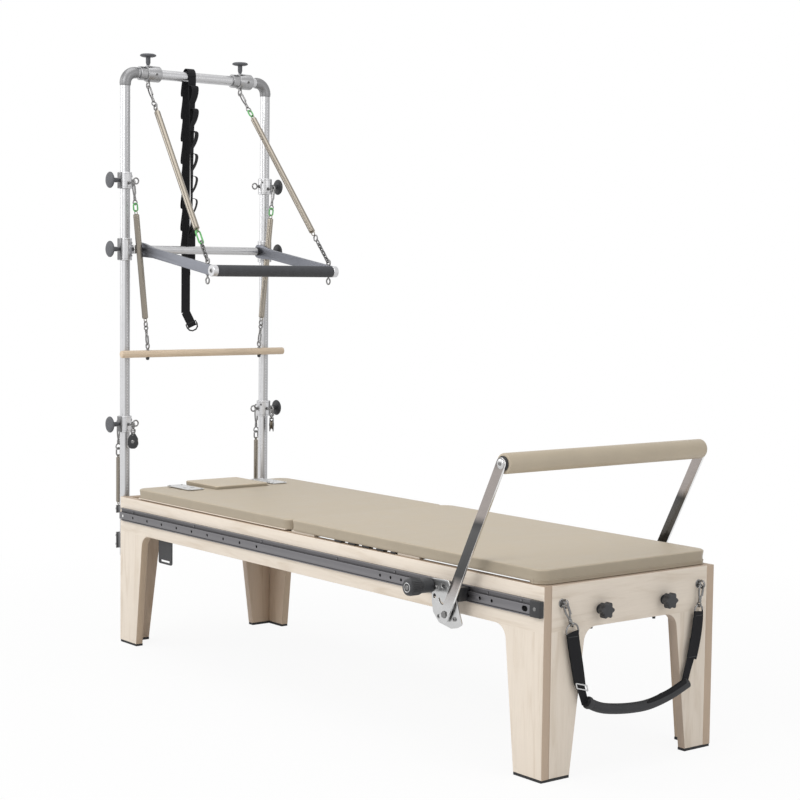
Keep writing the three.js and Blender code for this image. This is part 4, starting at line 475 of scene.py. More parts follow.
def vinyl(name, colour):
    """Upholstery vinyl: pebbled grain, slight mottling and a soft sheen."""
    graph = Graph(name)
    pebble = graph.node("ShaderNodeTexVoronoi", {"Vector": graph.place, "Scale": 900.0},
                        feature="DISTANCE_TO_EDGE").outputs["Distance"]
    ripple = graph.noise(graph.stretched((9, 1.2, 2)), 3.0, 2, 0.5)
    mottle = graph.noise(graph.place, 14, 4, 0.55)
    tone = graph.ramp(mottle, (0.3, shade(colour, 0.96)), (0.7, shade(colour, 1.03)))
    seam = graph.ramp(pebble, (0.0, 0.0), (0.08, 1.0))
    shine = graph.ramp(mottle, (0.3, 0.42), (0.7, 0.52))
    bump = graph.bump(seam, 0.12, 0.0003, Normal=graph.bump(ripple, 0.35, 0.004))
    return graph.finish(tone, shine, bump=bump, Specular_IOR_Level=0.35)


def webbing(name, colour):
    """Woven strap: ribs across, a faint twill along."""
    graph = Graph(name)
    ribs = graph.node("ShaderNodeTexWave", {"Vector": graph.place, "Scale": 180.0, "Distortion": 1.5,
                                            "Detail": 2.0, "Detail Scale": 3.0},
                      bands_direction="Z").outputs["Fac"]
    twill = graph.node("ShaderNodeTexWave", {"Vector": graph.stretched((1, 1, 0.2)), "Scale": 260.0,
                                             "Distortion": 1.0}, bands_direction="DIAGONAL").outputs["Fac"]
    weave = graph.math("MULTIPLY", ribs, twill)
    tone = graph.ramp(weave, (0.1, shade(colour, 0.6)), (0.8, shade(colour, 1.5)))
    return graph.finish(tone, 0.85, bump=graph.bump(weave, 0.5, 0.0006), Specular_IOR_Level=0.25)


FINISHES = {}

# Wood: name, grain, share of the light tone, share of the dark tone, depth of the pores
MAPLES = {
    "maple_beam": ("Maple, grain along the bed", "x", 1, 1, 0.12),
    "maple_leg": ("Maple, upright grain", "z", 1, 1, 0.12),
    "maple_cross": ("Maple, grain across the bed", "y", 1, 1, 0.12),
    # A darker copy of the maple for the strips under the mat: painted shade
    "maple_strip_painted_shade": ("Maple strip", "x", 0.8, 0.72, 0.4),
    # A darker, browner copy of the maple for the faces that look into the bed: painted shade
    "maple_inner": ("Maple, inner face", "z", (0.78, 0.69, 0.61), (0.75, 0.64, 0.55), 0.12),
}
# Ply edges: name, direction across the layers, share of the light tone, share of the dark tone; the browner
# shares are partly the ply's own edge colour and partly painted shade
EDGES = {
    "side_edge": ("Ply edge of a side board", "Y", (0.74, 0.66, 0.6), (0.72, 0.65, 0.6)),
    "end_edge": ("Ply edge of an end board", "X", (0.73, 0.67, 0.64), (0.7, 0.64, 0.61)),
    "arch_edge": ("Ply edge inside an arch", "Y", (0.78, 0.7, 0.62), (0.75, 0.66, 0.57)),
}
# Metal: name, colour and its share, roughness, scale of the drawing marks each way, their depth
METALS = {
    "silver": ("Satin silver tube", "silver", 1, 0.3, (8, 8, 90), 0.012),
    # A darker copy of the post silver for the crossbars: painted shade
    "silver_painted_shade": ("Satin silver crossbar", "silver", 0.8, 0.34, (8, 90, 8), 0.012),
    # A darker copy of the post silver down one side of each post: painted shade
    "post_band": ("Index band of a post", "silver", 0.64, 0.42, (8, 8, 90), 0.012),
    # A much darker copy of the post silver for the bends of the tube: painted shade
    "elbow": ("Cast elbow", "silver", 0.376, 0.42, (40, 40, 40), 0.05),
    "mark": ("Index mark", "silver", 1.2, 0.55, (60, 60, 60), 0.05),
    "collar": ("Turned collar", "collar", 1, 0.36, (40, 40, 40), 0.012),
    "collar_top": ("Crossbar collar", "collar", 0.6, 0.38, (40, 40, 40), 0.05),
    "collar_dark": ("Collar boss", "collar", 0.34, 0.42, (40, 40, 40), 0.05),
    "arm": ("Satin flat bar", "arm", 1, 0.42, (8, 60, 60), 0.05),
    "chrome": ("Bright plate", "chrome", 1, 0.3, (60, 8, 60), 0.02),
    # A lighter copy of the chrome colour on the footbar arms' edges: painted highlight
    "polished_edge": ("Polished edge", "chrome", 1.35, 0.2, (60, 60, 8), 0.01),
    "rail": ("Grey anodised rail", "rail", 1, 0.42, (6, 160, 160), 0.05),
    "rail_dark": ("Shaded groove of the rail", "rail", 0.74, 0.5, (6, 160, 160), 0.05),
    "spring": ("Oiled spring wire", "spring", 1, 0.22, (90, 90, 90), 0.02),
    "link": ("Plated link", "link", 1, 0.26, (90, 90, 90), 0.05),
    "link_dark": ("Dark chain", "link", 0.6, 0.3, (90, 90, 90), 0.05),
}
# Plastic, rubber and foam: name, colour and its share, roughness, scale of the grain, its depth
MOULDINGS = {
    "green": ("Green link", "green", 1, 0.4, 600, 0.05),
    "knob": ("Moulded knob", "knob", 1, 0.5, 900, 0.15),
    # A lighter copy of the knob colour for the near-side and top knobs: painted light
    "knob_top": ("Grey knob", "knob", 3.1, 0.5, 900, 0.15),
    "black": ("Black plastic", "knob", 0.6, 0.42, 700, 0.1),
    "steel_black": ("Black powder coat", "knob", 0.8, 0.45, 1200, 0.2),
    "rubber": ("Black rubber", "knob", 0.5, 0.75, 500, 0.25),
    "foam": ("Foam grip", "knob", 1.9, 0.8, 1500, 0.4),
    "foam_dark": ("Dark foam handle", "knob", 0.9, 0.7, 1500, 0.4),
    "white": ("White screw", "screw", 1, 0.4, 500, 0.05),
}
# The darker copy of the vinyl on the cushions' sides is painted shade
VINYLS = {"vinyl": ("Beige vinyl", 1), "vinyl_side": ("Beige vinyl, side panel", 0.8),
          # A lighter copy of the vinyl for the headrest's top: painted light
          "vinyl_head": ("Beige vinyl, headrest", 1.16)}


def make_finishes(colours):
    """Makes every finish from the colours in the settings."""
    def tone(key, share=1):
        return shade(getattr(colours, key), share)

    for key, (name, along, light, dark, pores) in MAPLES.items():
        FINISHES[key] = maple(name, along, tone("maple_light", light), tone("maple_dark", dark), pores)
    for key, (name, across, light, dark) in EDGES.items():
        FINISHES[key] = ply_edge(name, across, tone("maple_light", light), tone("maple_dark", dark))
    for make, table in ((satin_metal, METALS), (moulded, MOULDINGS)):
        for key, (name, colour, share, *surface) in table.items():
            FINISHES[key] = make(name, tone(colour, share), *surface)
    for key, (name, share) in VINYLS.items():
        FINISHES[key] = vinyl(name, tone("vinyl", share))
    # The footbar arms take a painted reflection made from a light and a dark copy of the chrome colour
    FINISHES["polished"] = painted_reflection_bar("Polished footbar arm", tone("chrome", 1.1), tone("chrome", 0.14))
    FINISHES["dowel"] = maple("Waxed dowel", "y", tone("dowel"), tone("dowel", 0.82), 0.5)
    FINISHES["webbing"] = webbing("Black webbing", tone("webbing"))


# ---------------------------------------------------------------- pieces

def build(name, shapes, body="root", replaces=(), sharp=32.0, blend=None):
    """Joins shapes, each with its finish, into one piece that rides on a body, or that stays where it is
    built when blend is given.
    """
    mesh = bpy.data.meshes.new(name)
    finishes = list(dict.fromkeys(finish for _, finish in shapes))
    verts, faces, marks = [], [], []
    for (points, polygons), finish in shapes:
        base = len(verts)
        verts += [tuple(p) for p in points]
        faces += [tuple(base + i for i in face) for face in polygons]
        marks += [finishes.index(finish)] * len(polygons)
    mesh.from_pydata(verts, [], faces)
    for finish in finishes:
        mesh.materials.append(FINISHES[finish])
    mesh.polygons.foreach_set("material_index", marks)
    mend(mesh)
    mesh.polygons.foreach_set("use_smooth", [True] * len(mesh.polygons))
    mesh.set_sharp_from_angle(angle=radians(sharp))
    mesh.update()
    piece = bpy.data.objects.new(name, mesh)
    bpy.context.scene.collection.objects.link(piece)
    if blend:
        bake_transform(piece)
    else:
        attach(piece, body)
    if replaces:
        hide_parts(*replaces)
    return piece


def dress(name, shapes, node, sharp=32.0):
    """Builds a piece that rides on a node's body and takes that node's place."""
    return build(name, shapes, node, [node], sharp)


def mend(mesh):
    """Joins a mesh's doubled points and turns its faces outwards."""
    tool = bmesh.new()
    tool.from_mesh(mesh)
    bmesh.ops.remove_doubles(tool, verts=tool.verts, dist=1e-6)
    bmesh.ops.recalc_face_normals(tool, faces=tool.faces)
    tool.to_mesh(mesh)
    tool.free()


def cut_away(piece, shape):
    """Cuts a shape out of a piece for good."""
    mesh = bpy.data.meshes.new("cutter")
    mesh.from_pydata([tuple(v) for v in shape[0]], [], shape[1])
    mend(mesh)
    cutter = bpy.data.objects.new("cutter", mesh)
    bpy.context.scene.collection.objects.link(cutter)
    change = piece.modifiers.new("cut", "BOOLEAN")
    change.operation, change.solver, change.object = "DIFFERENCE", "EXACT", cutter
    bpy.context.view_layer.update()
    result = bpy.data.meshes.new_from_object(piece.evaluated_get(bpy.context.evaluated_depsgraph_get()))
    piece.modifiers.remove(change)
    old, piece.data = piece.data, result
    result.name = old.name
    bpy.data.meshes.remove(old)
    bpy.data.objects.remove(cutter)
    bpy.data.meshes.remove(mesh)


def split(shape, rule):
    """Splits a shape's faces among the finishes that a rule gives for normal, middle and corner count."""
    verts, faces = shape
    parts = {}
    for face in faces:
        a, b, c = (verts[i] for i in face[:3])
        middle = sum((verts[i] for i in face), Vector()) / len(face)
        finish = rule((b - a).cross(c - b).normalized(), middle, len(face))
        parts.setdefault(finish, []).append(face)
    return [((verts, chosen), finish) for finish, chosen in parts.items()]


def board_outline(half, leg_foot, leg_widening, bed):
    """A side or end board: an arch with tapered legs that stand on their pads."""
    floor = 8.3
    head = leg_foot + leg_widening / (bed.arch_top - bed.arch_radius) * bed.arch_top
    left = [(-half, floor), (-half + leg_foot, floor), (-half + head, bed.arch_top, bed.arch_radius)]
    right = [(-u, *rest) for u, *rest in reversed(left)]
    return rounded([*left, *right, (half, bed.height), (-half, bed.height)], 10)


def board(outline, plane, start, finishes, bed):
    """A board whose faces are marked as beam, legs, ply edges and the face that looks into the bed, which
    carries painted shade.
    """
    beam, leg, edge = finishes
    faced = ACROSS if plane == "side" else ALONG
    arch_reach, arch_level = (HALF_BED - 5) * MM, (bed.height - 6) * MM

    def rule(normal, middle, _):
        place = middle - at(0, 0, 0)
        if abs(normal.dot(faced)) < 0.6:
            # Ply edges inside the side boards' arches get a tint of their own, partly painted shade
            arched = plane == "side" and abs(place.x) < arch_reach and place.z < arch_level
            return "arch_edge" if arched else edge
        # Faces that look into the bed take the maple with painted shade
        if normal.dot(faced) * place.dot(faced) < 0:
            return "maple_inner"
        return leg if place.z < bed.arch_top * MM else beam

    return split(cut_level(plate(plane, [outline], start, bed.thickness, bed.edge), bed.arch_top * MM), rule)


def cut_level(shape, level):
    """Cuts a shape's faces along a level so that each lies above or below it."""
    tool = bmesh.new()
    made = [tool.verts.new(v) for v in shape[0]]
    for face in shape[1]:
        try:
            tool.faces.new([made[i] for i in face])
        except ValueError:
            continue
    bmesh.ops.bisect_plane(tool, geom=list(tool.verts) + list(tool.edges) + list(tool.faces),
                           plane_co=Vector((0, 0, level)), plane_no=UP)
    return taken_from(tool)


def shade_banded(post, axis, span):
    """A post whose faces between two angles about its axis, in degrees, carry a darker band of painted shade.
    """
    low, high = (radians(angle) for angle in span)

    def rule(_, middle, corners):
        turn = -ALONG.to_2d().angle_signed((middle - axis).to_2d(), 0)
        return "post_band" if corners == 4 and low < turn < high else "silver"

    return split(post, rule)


def shaded_at_sides(shape, top="vinyl"):
    """A cushion whose top takes the given vinyl and whose sides take a darker copy of it as painted shade."""
    return split(shape, lambda normal, *_: top if normal.z > 0.5 else "vinyl_side")


def collar_shape(base, length):
    """An upright bored collar with rounded ends and a fine line near each end."""
    bore, radius = 19.5, 26
    half = [(radius - 2, 0), (radius, 2), (radius, 6), (radius - 0.9, 6.7), (radius, 7.4)]
    upper = [(reach, length - height) for reach, height in reversed(half)]
    return turned([(bore, 0), *half, *upper, (bore, length), (bore, 0)], base, UP, 48)


def knob_shape(base, direction, finish):
    """A pull knob: stem, dished back and a knurled rim."""
    reach, rim, ribs = 45.2, 29.6, 30
    stem = reach - 13
    profile = disc((6, 0), (6.5, 4), (9, stem * 0.35), (9, stem - 1), (12, stem), (21, stem + 0.6),
                   (27.5, stem + 2.4), (30, stem + 5), (30, stem + 8), (28.4, stem + 10.4),
                   (24, reach - 0.8), (18, reach))
    shapes = [(turned(profile, base, direction, 48), finish)]
    side = direction.orthogonal().normalized()
    third = direction.cross(side)
    for k in range(ribs):
        spot = off(base, spoke(side, third, tau * k / ribs), rim)
        shapes += rods(spot, direction, [(stem + 4.5, stem + 8.5, 1.3, 6, 0, finish)])
    return shapes


def eyebolt(start, centre, normal):
    """An eyebolt with a shoulder and its ring."""
    ahead = (centre - start).normalized()
    return [(rod(start, off(centre, ahead, -9.5), 3.8, 16), "link"), (ring(centre, normal, 11, 2.9), "link"),
            (rod(off(start, ahead, 1), off(start, ahead, 5.5), 7, 6), "link")]


def snap_hook(top, bottom, across):
    """A swivel snap: a pear-shaped hook with its gate, a turned barrel and a small eye."""
    down = (bottom - top).normalized()
    side = (across - down * across.dot(down)).normalized()
    length = (bottom - top).length / MM
    body, barrel, swivel = length * 0.62, length * 0.16, (length * 0.22 - 1) / 2
    middle, neck = off(top, down, body / 2), off(top, down, body)
    path = []
    for k in range(28):
        angle = tau * k / 28
        width = 7.6 - 2.2 * cos(angle + pi)
        path.append(off(off(middle, down, -cos(angle) * body / 2), side, sin(angle) * width))
    gate = off(middle, side, 7.9)
    profile = [(0, -3), (4.4, -2.4), (5.8, 0), (4.2, 2.2), (5.6, 4), (5.6, barrel - 1), (0, barrel)]
    return [(tube(path, 2.9, 10, closed=True), "link"),
            (rod(off(gate, down, -body * 0.3), off(gate, down, body * 0.28), 3.5, 12), "link"),
            (turned(profile, neck, down, 16), "link"),
            (ring(off(neck, down, barrel + swivel), side, max(swivel, 4.4), 2.5, 20, 8), "link")]


def chain(start, end):
    """A short chain of twisted dark links between two places."""
    pitch, bite, wire, width = 16, 2.4, 2.6, 12
    count = max(1, round((end - start).length / MM / pitch))
    step = (end - start) / count
    ahead = step.normalized()
    shapes = []
    for k in range(count):
        top, bottom = off(start + step * k, ahead, bite), off(start + step * (k + 1), ahead, -bite)
        shapes.append((loop_wire(top, bottom, width, wire, (ALONG, ACROSS)[k % 2], 6), "link_dark"))
    return shapes


def wound_spring(eye, lower, start, end, radius, settings):
    """A close-wound body with its closing domes and an end loop at each end."""
    down = (lower - eye).normalized()
    across = ACROSS - down * ACROSS.dot(down)
    first, last = off(eye, down, start), off(eye, down, end)
    shapes = [(coil(first, last, radius, settings.wire, settings.pitch), "spring"),
              (tube([first + (last - first) * (k / 24) for k in range(25)], radius + 1.1, 28), "spring")]
    dome = [(0, 0), (radius + 1.2, 0), (radius + 1.0, 2.5), (radius - 1.5, 5.2), (radius - 5, 6.6), (0, 7)]
    for spot, way in ((first, -1), (last, 1)):
        shapes.append((ring(off(spot, down, way * radius), across, radius - 1, 1.8), "spring"))
        shapes.append((turned(dome, spot, down * way, 28), "spring"))
    return shapes


def top_gear(eye, lower, start, link, radius):
    """The snap on an eye and the link or ring that joins it to a spring."""
    down = (lower - eye).normalized()
    side = (ALONG - down * ALONG.dot(down)).normalized()
    loop_top = start - 2 * radius + 2
    if link == "ring":
        joint = loop_top - 16
        shapes = [(ring(off(eye, down, loop_top - 8), ACROSS, 10.5, 2.8), "link")]
    else:
        joint = loop_top - 24
        shapes = [(loop_wire(off(eye, down, joint + 5), off(eye, down, loop_top - 6), 17, 3.0, ACROSS), link)]
    return shapes + snap_hook(off(eye, down, 3), off(eye, down, joint + 3), side)


def cushion(low, high, corner, crown, side_pull=2.0, top_round=6.0):
    """A padded form: rounded in plan, pulled-in sides, a rounded upper edge and a crowned top."""
    middle = (high + low) / 2
    sx, sy, sz = (side / MM for side in high - low)
    outline = [Vector(point) for point in oblong((-sx / 2, sx / 2), (-sy / 2, sy / 2), corner, 7)]
    dense = []
    for point, after in zip(outline, (*outline[1:], outline[0])):
        steps = max(1, round((after - point).length / 45))
        dense += [point + (after - point) * (k / steps) for k in range(steps)]
    flat = sz - crown
    seam = flat - top_round
    # Rows from the foot up: how far drawn in, height and crown
    rows = [(side_pull + 1.5, 0, 0), (side_pull * 0.6, 2, 0), (side_pull, flat * 0.25, 0),
            (side_pull, flat * 0.5, 0), (side_pull * 0.5, seam * 0.82, 0), (0.4, seam, 0)]
    for k in range(1, 6):
        angle = pi / 2 * k / 5
        rows.append((top_round * (1 - cos(angle)), seam + top_round * sin(angle) * 0.98, 0))
    for reach in (14, 26, 42, 62, 88, 120, 160, 210, 270, 330):
        if reach + top_round < min(sx, sy) / 2 - 4:
            rows.append((top_round + reach, flat, crown * min(1, reach / 90) ** 0.7))
    verts = []
    for inset, height, swell in rows:
        for u, v in dense:
            pu, pv = u * (1 - 2 * inset / sx), v * (1 - 2 * inset / sy)
            a, b = min(1, abs(2 * pu / sx)), min(1, abs(2 * pv / sy))
            pull = 0.6 * sin(pu * 0.041) * sin(pv * 0.057 + 1) * max(0, 1 - inset / 240) if swell else 0
            z = height + swell * (1 - a ** 3) * (1 - b ** 3) + pull
            verts.append(Vector((middle.x + pu * MM, middle.y + pv * MM, low.z + z * MM)))
    return verts, skin(len(rows), len(dense))


# ---------------------------------------------------------------- settings

def size_property(name, words, value):
    return bpy.props.FloatProperty(name=name, description=f"{words}, in mm", default=value)


def colour_property(name, words, value):
    return bpy.props.FloatVectorProperty(name=name, description=words, subtype="COLOR", size=3, default=value)


class BedSettings(bpy.types.PropertyGroup):
    height: size_property("Board top", "Height of the boards", 560.0)
    thickness: size_property("Board", "Thickness of the boards", 30.0)
    inner: size_property("Inner face", "Inner face of the side boards, from the middle", 320.0)
    arch_top: size_property("Arch", "Height of the arches", 428.0)
    arch_radius: size_property("Arch radius", "Radius of the arch corners", 45.0)
    side_leg: size_property("Side leg", "Foot width of a leg along the bed", 119.0)
    side_taper: size_property("Side taper", "What a leg gains along the bed up to the arch", 41.0)
    end_leg: size_property("End leg", "Foot width of a leg across the bed", 80.0)
    end_taper: size_property("End taper", "What a leg gains across the bed up to the arch", 48.0)
    edge: size_property("Edge", "Rounding of the board edges", 2.5)


class TowerSettings(bpy.types.PropertyGroup):
    post_x: size_property("Post place", "Posts, along the bed", -1212.0)
    post_y: size_property("Post offset", "Posts, from the middle", 318.0)
    top: size_property("Top", "Height of the crossbar", 2171.0)
    upper: size_property("Upper collars", "Their height", 1763.0)
    pivot: size_property("Pivot collars", "Their height", 1503.0)
    tube: size_property("Tube radius", "Radius of posts and crossbar", 19.0)


class SpringSettings(bpy.types.PropertyGroup):
    radius: size_property("Coil radius", "Radius of the wire's centre", 10.4)
    wire: size_property("Wire radius", "Radius of the spring wire", 1.35)
    pitch: size_property("Pitch", "Step from turn to turn", 2.9)


class ColourSettings(bpy.types.PropertyGroup):
    maple_light: colour_property("Maple", "Light tone of the wood", (0.81, 0.72, 0.615))
    maple_dark: colour_property("Maple grain", "Dark tone of the wood", (0.69, 0.59, 0.475))
    silver: colour_property("Silver tube", "Posts and crossbar", (0.66, 0.66, 0.672))
    collar: colour_property("Collars", "Collars on the tubes", (0.6, 0.6, 0.61))
    arm: colour_property("Flat arms", "Arms of the push-through bar", (0.228, 0.236, 0.264))
    chrome: colour_property("Bright plate", "Footbar and brackets", (0.6, 0.6, 0.6))
    rail: colour_property("Rail", "Grey anodised rail", (0.208, 0.203, 0.212))
    spring: colour_property("Spring wire", "Oiled spring steel", (0.285, 0.256, 0.216))
    link: colour_property("Links", "Plated links and rings", (0.235, 0.232, 0.23))
    green: colour_property("Green link", "Coloured links", (0.13, 0.47, 0.14))
    knob: colour_property("Knobs", "Moulded knobs", (0.03, 0.031, 0.034))
    screw: colour_property("Screw", "White screw of a rail", (0.8, 0.8, 0.78))
    dowel: colour_property("Dowel", "Roll-down bar", (0.72, 0.58, 0.43))
    vinyl: colour_property("Vinyl", "Upholstery", (0.5, 0.427, 0.322))
    webbing: colour_property("Webbing", "Straps", (0.014, 0.014, 0.016))


# ---------------------------------------------------------------- steps

class REFORMER_OT_finishes(bpy.types.Operator):
    """Make the finishes"""
    bl_idname = "reformer.finishes"
    bl_label = "Finishes"

    def execute(self, context):
        make_finishes(context.scene.reformer_colours)
        pads = [f"foot_pad_{name}_{end}" for name, _ in SIDES for end in ("head", "foot")]
        for nodes, finish in ((("track_frame", "slotted_plate"), "steel_black"), (pads, "rubber")):
            for node in nodes:
                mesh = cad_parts[node].data
                mesh.materials.clear()
                mesh.materials.append(FINISHES[finish])
        return {"FINISHED"}


class REFORMER_OT_boards(bpy.types.Operator):
    """Make the wooden bed: two side boards and two end boards"""
    bl_idname = "reformer.boards"
    bl_label = "Boards"

    def execute(self, context):
        bed = context.scene.reformer_bed
        outline = board_outline(HALF_BED, bed.side_leg, bed.side_taper, bed)
        for name, side in SIDES:
            start = bed.inner if side < 0 else -bed.inner - bed.thickness
            shapes = board(outline, "side", start, ("maple_beam", "maple_leg", "side_edge"), bed)
            build(f"board_side_{name}", shapes, replaces=[f"side_panel_{name}"])
        outline = board_outline(bed.inner - 0.3, bed.end_leg, bed.end_taper, bed)
        for name, start in (("head", -HALF_BED), ("foot", HALF_BED - bed.thickness)):
            shapes = board(outline, "end", start, ("maple_cross", "maple_leg", "end_edge"), bed)
            build(f"board_end_{name}", shapes, replaces=[f"end_panel_{name}"])
        return {"FINISHED"}


class REFORMER_OT_rails(bpy.types.Operator):
    """Make the footbar rails with their index holes, slot, end cap and screw"""
    bl_idname = "reformer.rails"
    bl_label = "Rails"

    def execute(self, context):
        start, end, back, face, row, hole = -1170, 1147, 350.3, 365.3, 492, 5
        wide_pitch, close_pitch = 104.6, 52.7
        spots = [-1069 + wide_pitch * k for k in range(9)] + [458 + close_pitch * k for k in range(11)]
        slot_xs, slot_zs = (1114, 1138), (484, 500)
        outlines = [oblong((start, end), (479, 505)), *(circle(x, row, hole) for x in spots),
                    oblong(slot_xs, slot_zs, 7.9)]
        # Lips of the profile: foot, top, how far each stands out, finish
        lips = ((472, 475, 10, "rail"), (475, 479, 6, "rail_dark"), (505, 517, 6, "rail_dark"),
                (517, 520, 10, "rail"))
        for name, side in SIDES:
            shapes = [(plate("side", outlines, -face, face - back, 0.4), "rail")]
            for low, high, out, finish in lips:
                shapes.append((block((start, end), (back, back + out), (low, high), 0.3), finish))
            # Black discs at the bottom of the index holes and in the slot stand in for the shade inside them:
            # painted shade
            for x in spots:
                shapes += rods(at(x, 0, row), ACROSS, [(back + 0.3, 353, hole, 16, 0, "black")])
            shapes.append((block(slot_xs, (back + 0.3, 352), slot_zs, 0.3), "black"))
            cap_end = HALF_BED if side < 0 else 1175
            shapes.append((block((end + 0.2, cap_end), (back, face + 0.3), (472, 520), 2.0, 3), "black"))
            shapes += rods(at(1167, 0, 496), ACROSS, [(365, 366.4, 6, 24, 0.6, "link")])
            shapes += rods(at(-1143, 0, row), ACROSS, [(365, 366.6, 5, 24, 0.6, "white")])
            for x in (-1080, -647, -214, 220, 522, 958, 1103):
                button = turned([(0, 0), (4.2, 0), (3.6, 2.4), (0, 2.6)], at(x, 356, 511), ACROSS, 16)
                shapes.append((button, "rail"))
            build(f"rail_{name}", sided(side, shapes), replaces=[f"footbar_rail_{name}"])
        return {"FINISHED"}


class REFORMER_OT_tower(bpy.types.Operator):
    """Make the posts with their clamps, and the crossbar with its elbows"""
    bl_idname = "reformer.tower"
    bl_label = "Tower"

    def execute(self, context):
        tower = context.scene.reformer_tower
        x, y, top, radius = tower.post_x, tower.post_y, tower.top, tower.tube
        pitch, foot, elbow_radius, bend = 11, 330, 21.5, 42

        def marks(start, direction, count, size):
            """Index marks a pitch apart on the side of a tube that faces the bed."""
            row = [(radius - 1.2, radius + 0.2, size, 6, 0, "mark")]
            return [mark for k in range(count) for mark in rods(off(start, direction, k * pitch), ALONG, row)]

        for name, side in SIDES:
            post = rod(at(x, y, foot), at(x, y, top - bend - 8.3), radius, 48, 0.8)
            # The darker band of painted shade faces the same way on both posts, round the index marks
            shapes = shade_banded(post, at(x, y, 0), (-28, 38) if side > 0 else (-38, 28))
            shapes += rods(at(x, y, foot), UP, [(-1, 1, radius - 1.5, 32, 0, "black")])
            shapes += marks(at(x, y, 585), UP, 138, 1.6)
            # Clamps: middle, height and the levels of their bolts about the middle
            for middle, height, levels in ((387, 62, (-17, 17)), (507, 30, (0,))):
                low, high = middle - height / 2, middle + height / 2
                for xs, half, rim, edge in (((-1236, -1230), 25.5, 0, 1.2), ((x, -1190.3), 19, 0, 1.2),
                                            ((-1231, -1193), 21.5, 2, 3)):
                    ys, zs = (y - half, y + half), (low + rim, high - rim)
                    shapes.append((block(xs, ys, zs, edge), "collar_dark"))
                for level in levels:
                    for offset in (-18, 18):
                        shapes += rods(at(0, y + offset, middle + level), ALONG,
                                       [(-1243, -1235.5, 6, 6, 0.8, "black")])
            build(f"post_{name}", sided(side, shapes), replaces=[f"tower_post_{name}"])
        centre = y - bend
        turns = [pi / 2 * k / 14 for k in range(15)]
        arc = [at(x, centre + bend * sin(a), top - bend + bend * cos(a)) for a in turns]
        path = [at(x, centre - 8, top), *arc, at(x, y, top - bend - 8)]
        elbow = tube(path, [elbow_radius - 0.9] + [elbow_radius] * len(turns) + [elbow_radius - 0.9], 40)
        shapes = [(rod(at(x, -centre, top), at(x, centre, top), radius, 48), "silver_painted_shade")]
        shapes += both([(elbow, "elbow")]) + marks(at(x, -22 * pitch, top), ACROSS, 45, 1.3)
        build("crossbar_and_elbows", shapes, replaces=["tower_crossbar"])
        return {"FINISHED"}


class REFORMER_OT_collars(bpy.types.Operator):
    """Make the collars with their eyebolts and set screws, and the pull knobs"""
    bl_idname = "reformer.collars"
    bl_label = "Collars and knobs"

    def execute(self, context):
        tower = context.scene.reformer_tower
        x, y, top = tower.post_x, tower.post_y, tower.top
        sleeve_length, pivot_length, knob_seat, eye_start, eye_reach = 63, 85, 344.3, 25, 47

        def sleeve(middle, length):
            """A collar on a post with the boss that carries its knob."""
            half = length / 2 - 1
            boss = block((x - 15, x + 15), (y + 18, y + 26.2), (middle - half, middle + half), 2.5)
            return [(collar_shape(at(x, y, middle - length / 2), length), "collar"), (boss, "collar_dark")]

        def eye(middle, direction, normal, reach):
            """An eyebolt that stands out from a post's collar."""
            post = at(x, y, middle)
            return eyebolt(off(post, direction, eye_start), off(post, direction, reach), normal)

        def screw(middle):
            """A set screw in a collar, turned a little from the bed's side."""
            return rods(at(x, y, middle), Vector((0.6, -0.8, 0)),
                        [(25.5, 27.1, 4.5, 20, 0.5, "link"), (26.7, 27.4, 2.2, 6, 0, "black")])

        for name, side in SIDES:
            low, upper, pivot = LOWER_LEVEL[name], tower.upper, tower.pivot
            shapes = sleeve(upper, sleeve_length) + eye(upper, -ACROSS, ALONG, eye_reach)
            shapes += eye(upper - 10, ALONG, ACROSS, FRONT_EYE) + screw(upper + 16)
            dress(f"collar_upper_{name}", sided(side, shapes), f"upper_collar_{name}")

            shapes = sleeve(pivot, pivot_length)
            shapes.append((block((x + 21, -1164), (294, 306), (pivot - 17, pivot + 17), 3, 3), "collar"))
            shapes += rods(at(PIVOT_X, 0, pivot), ACROSS,
                           [(296, 247.8, 6.9, 32, 0, "link"), (305, 308, 8, 6, 0, "black")])
            shapes += screw(pivot + 24) + screw(pivot - 24)
            build(f"collar_pivot_{name}", sided(side, shapes),
                  replaces=[f"pivot_collar_{name}"])

            shapes = sleeve(low, sleeve_length) + eye(low, -ACROSS, ALONG, eye_reach)
            shapes += eye(low, ALONG, ACROSS, FRONT_EYE) + eye(low, -ALONG, ACROSS, -REAR_EYE)
            shapes += screw(low + 16)
            dress(f"collar_lower_{name}", sided(side, shapes), f"lower_collar_{name}")

            for place, height in (("upper", upper), ("pivot", pivot), ("lower", low)):
                # Knobs on the near side take the lighter copy with painted light; those on the far side stay
                # dark
                finish = "knob_top" if side < 0 else "knob"
                shapes = knob_shape(at(x, side * knob_seat, height), ACROSS * side, finish)
                dress(f"knob_{place}_{name}", shapes, f"{place}_knob_{name}")

            start = -260 if side < 0 else 157
            eye_y = start + 41
            profile = [(19.5, 0), (25, 0), (26, 1), (26, 26), (24, 28), (29, 31), (30, 33),
                       (30, 86), (28.5, 88), (19.5, 88), (19.5, 0)]
            shapes = [(turned(profile, at(x, start, top), ACROSS, 48), "collar_top")]
            shapes += eyebolt(at(x, eye_y, top - 29), at(x, eye_y, top - 44), ACROSS)
            shapes += rods(at(x, eye_y, top), UP, [(27, 30.2, 12, 32, 0.8, "collar")])
            shapes += rods(at(x, start + 62, top - 3), ALONG,
                           [(29.3, 31.1, 6.0, 24, 0.6, "link"), (30.7, 31.4, 3.2, 6, 0, "black")])
            build(f"collar_top_{name}", shapes, replaces=[f"top_collar_{name}"])
            # The top knobs take the lighter copy with painted light
            shapes = knob_shape(at(x, eye_y, top + 30.3), UP, "knob_top")
            dress(f"knob_top_{name}", shapes, f"top_knob_{name}")
        return {"FINISHED"}


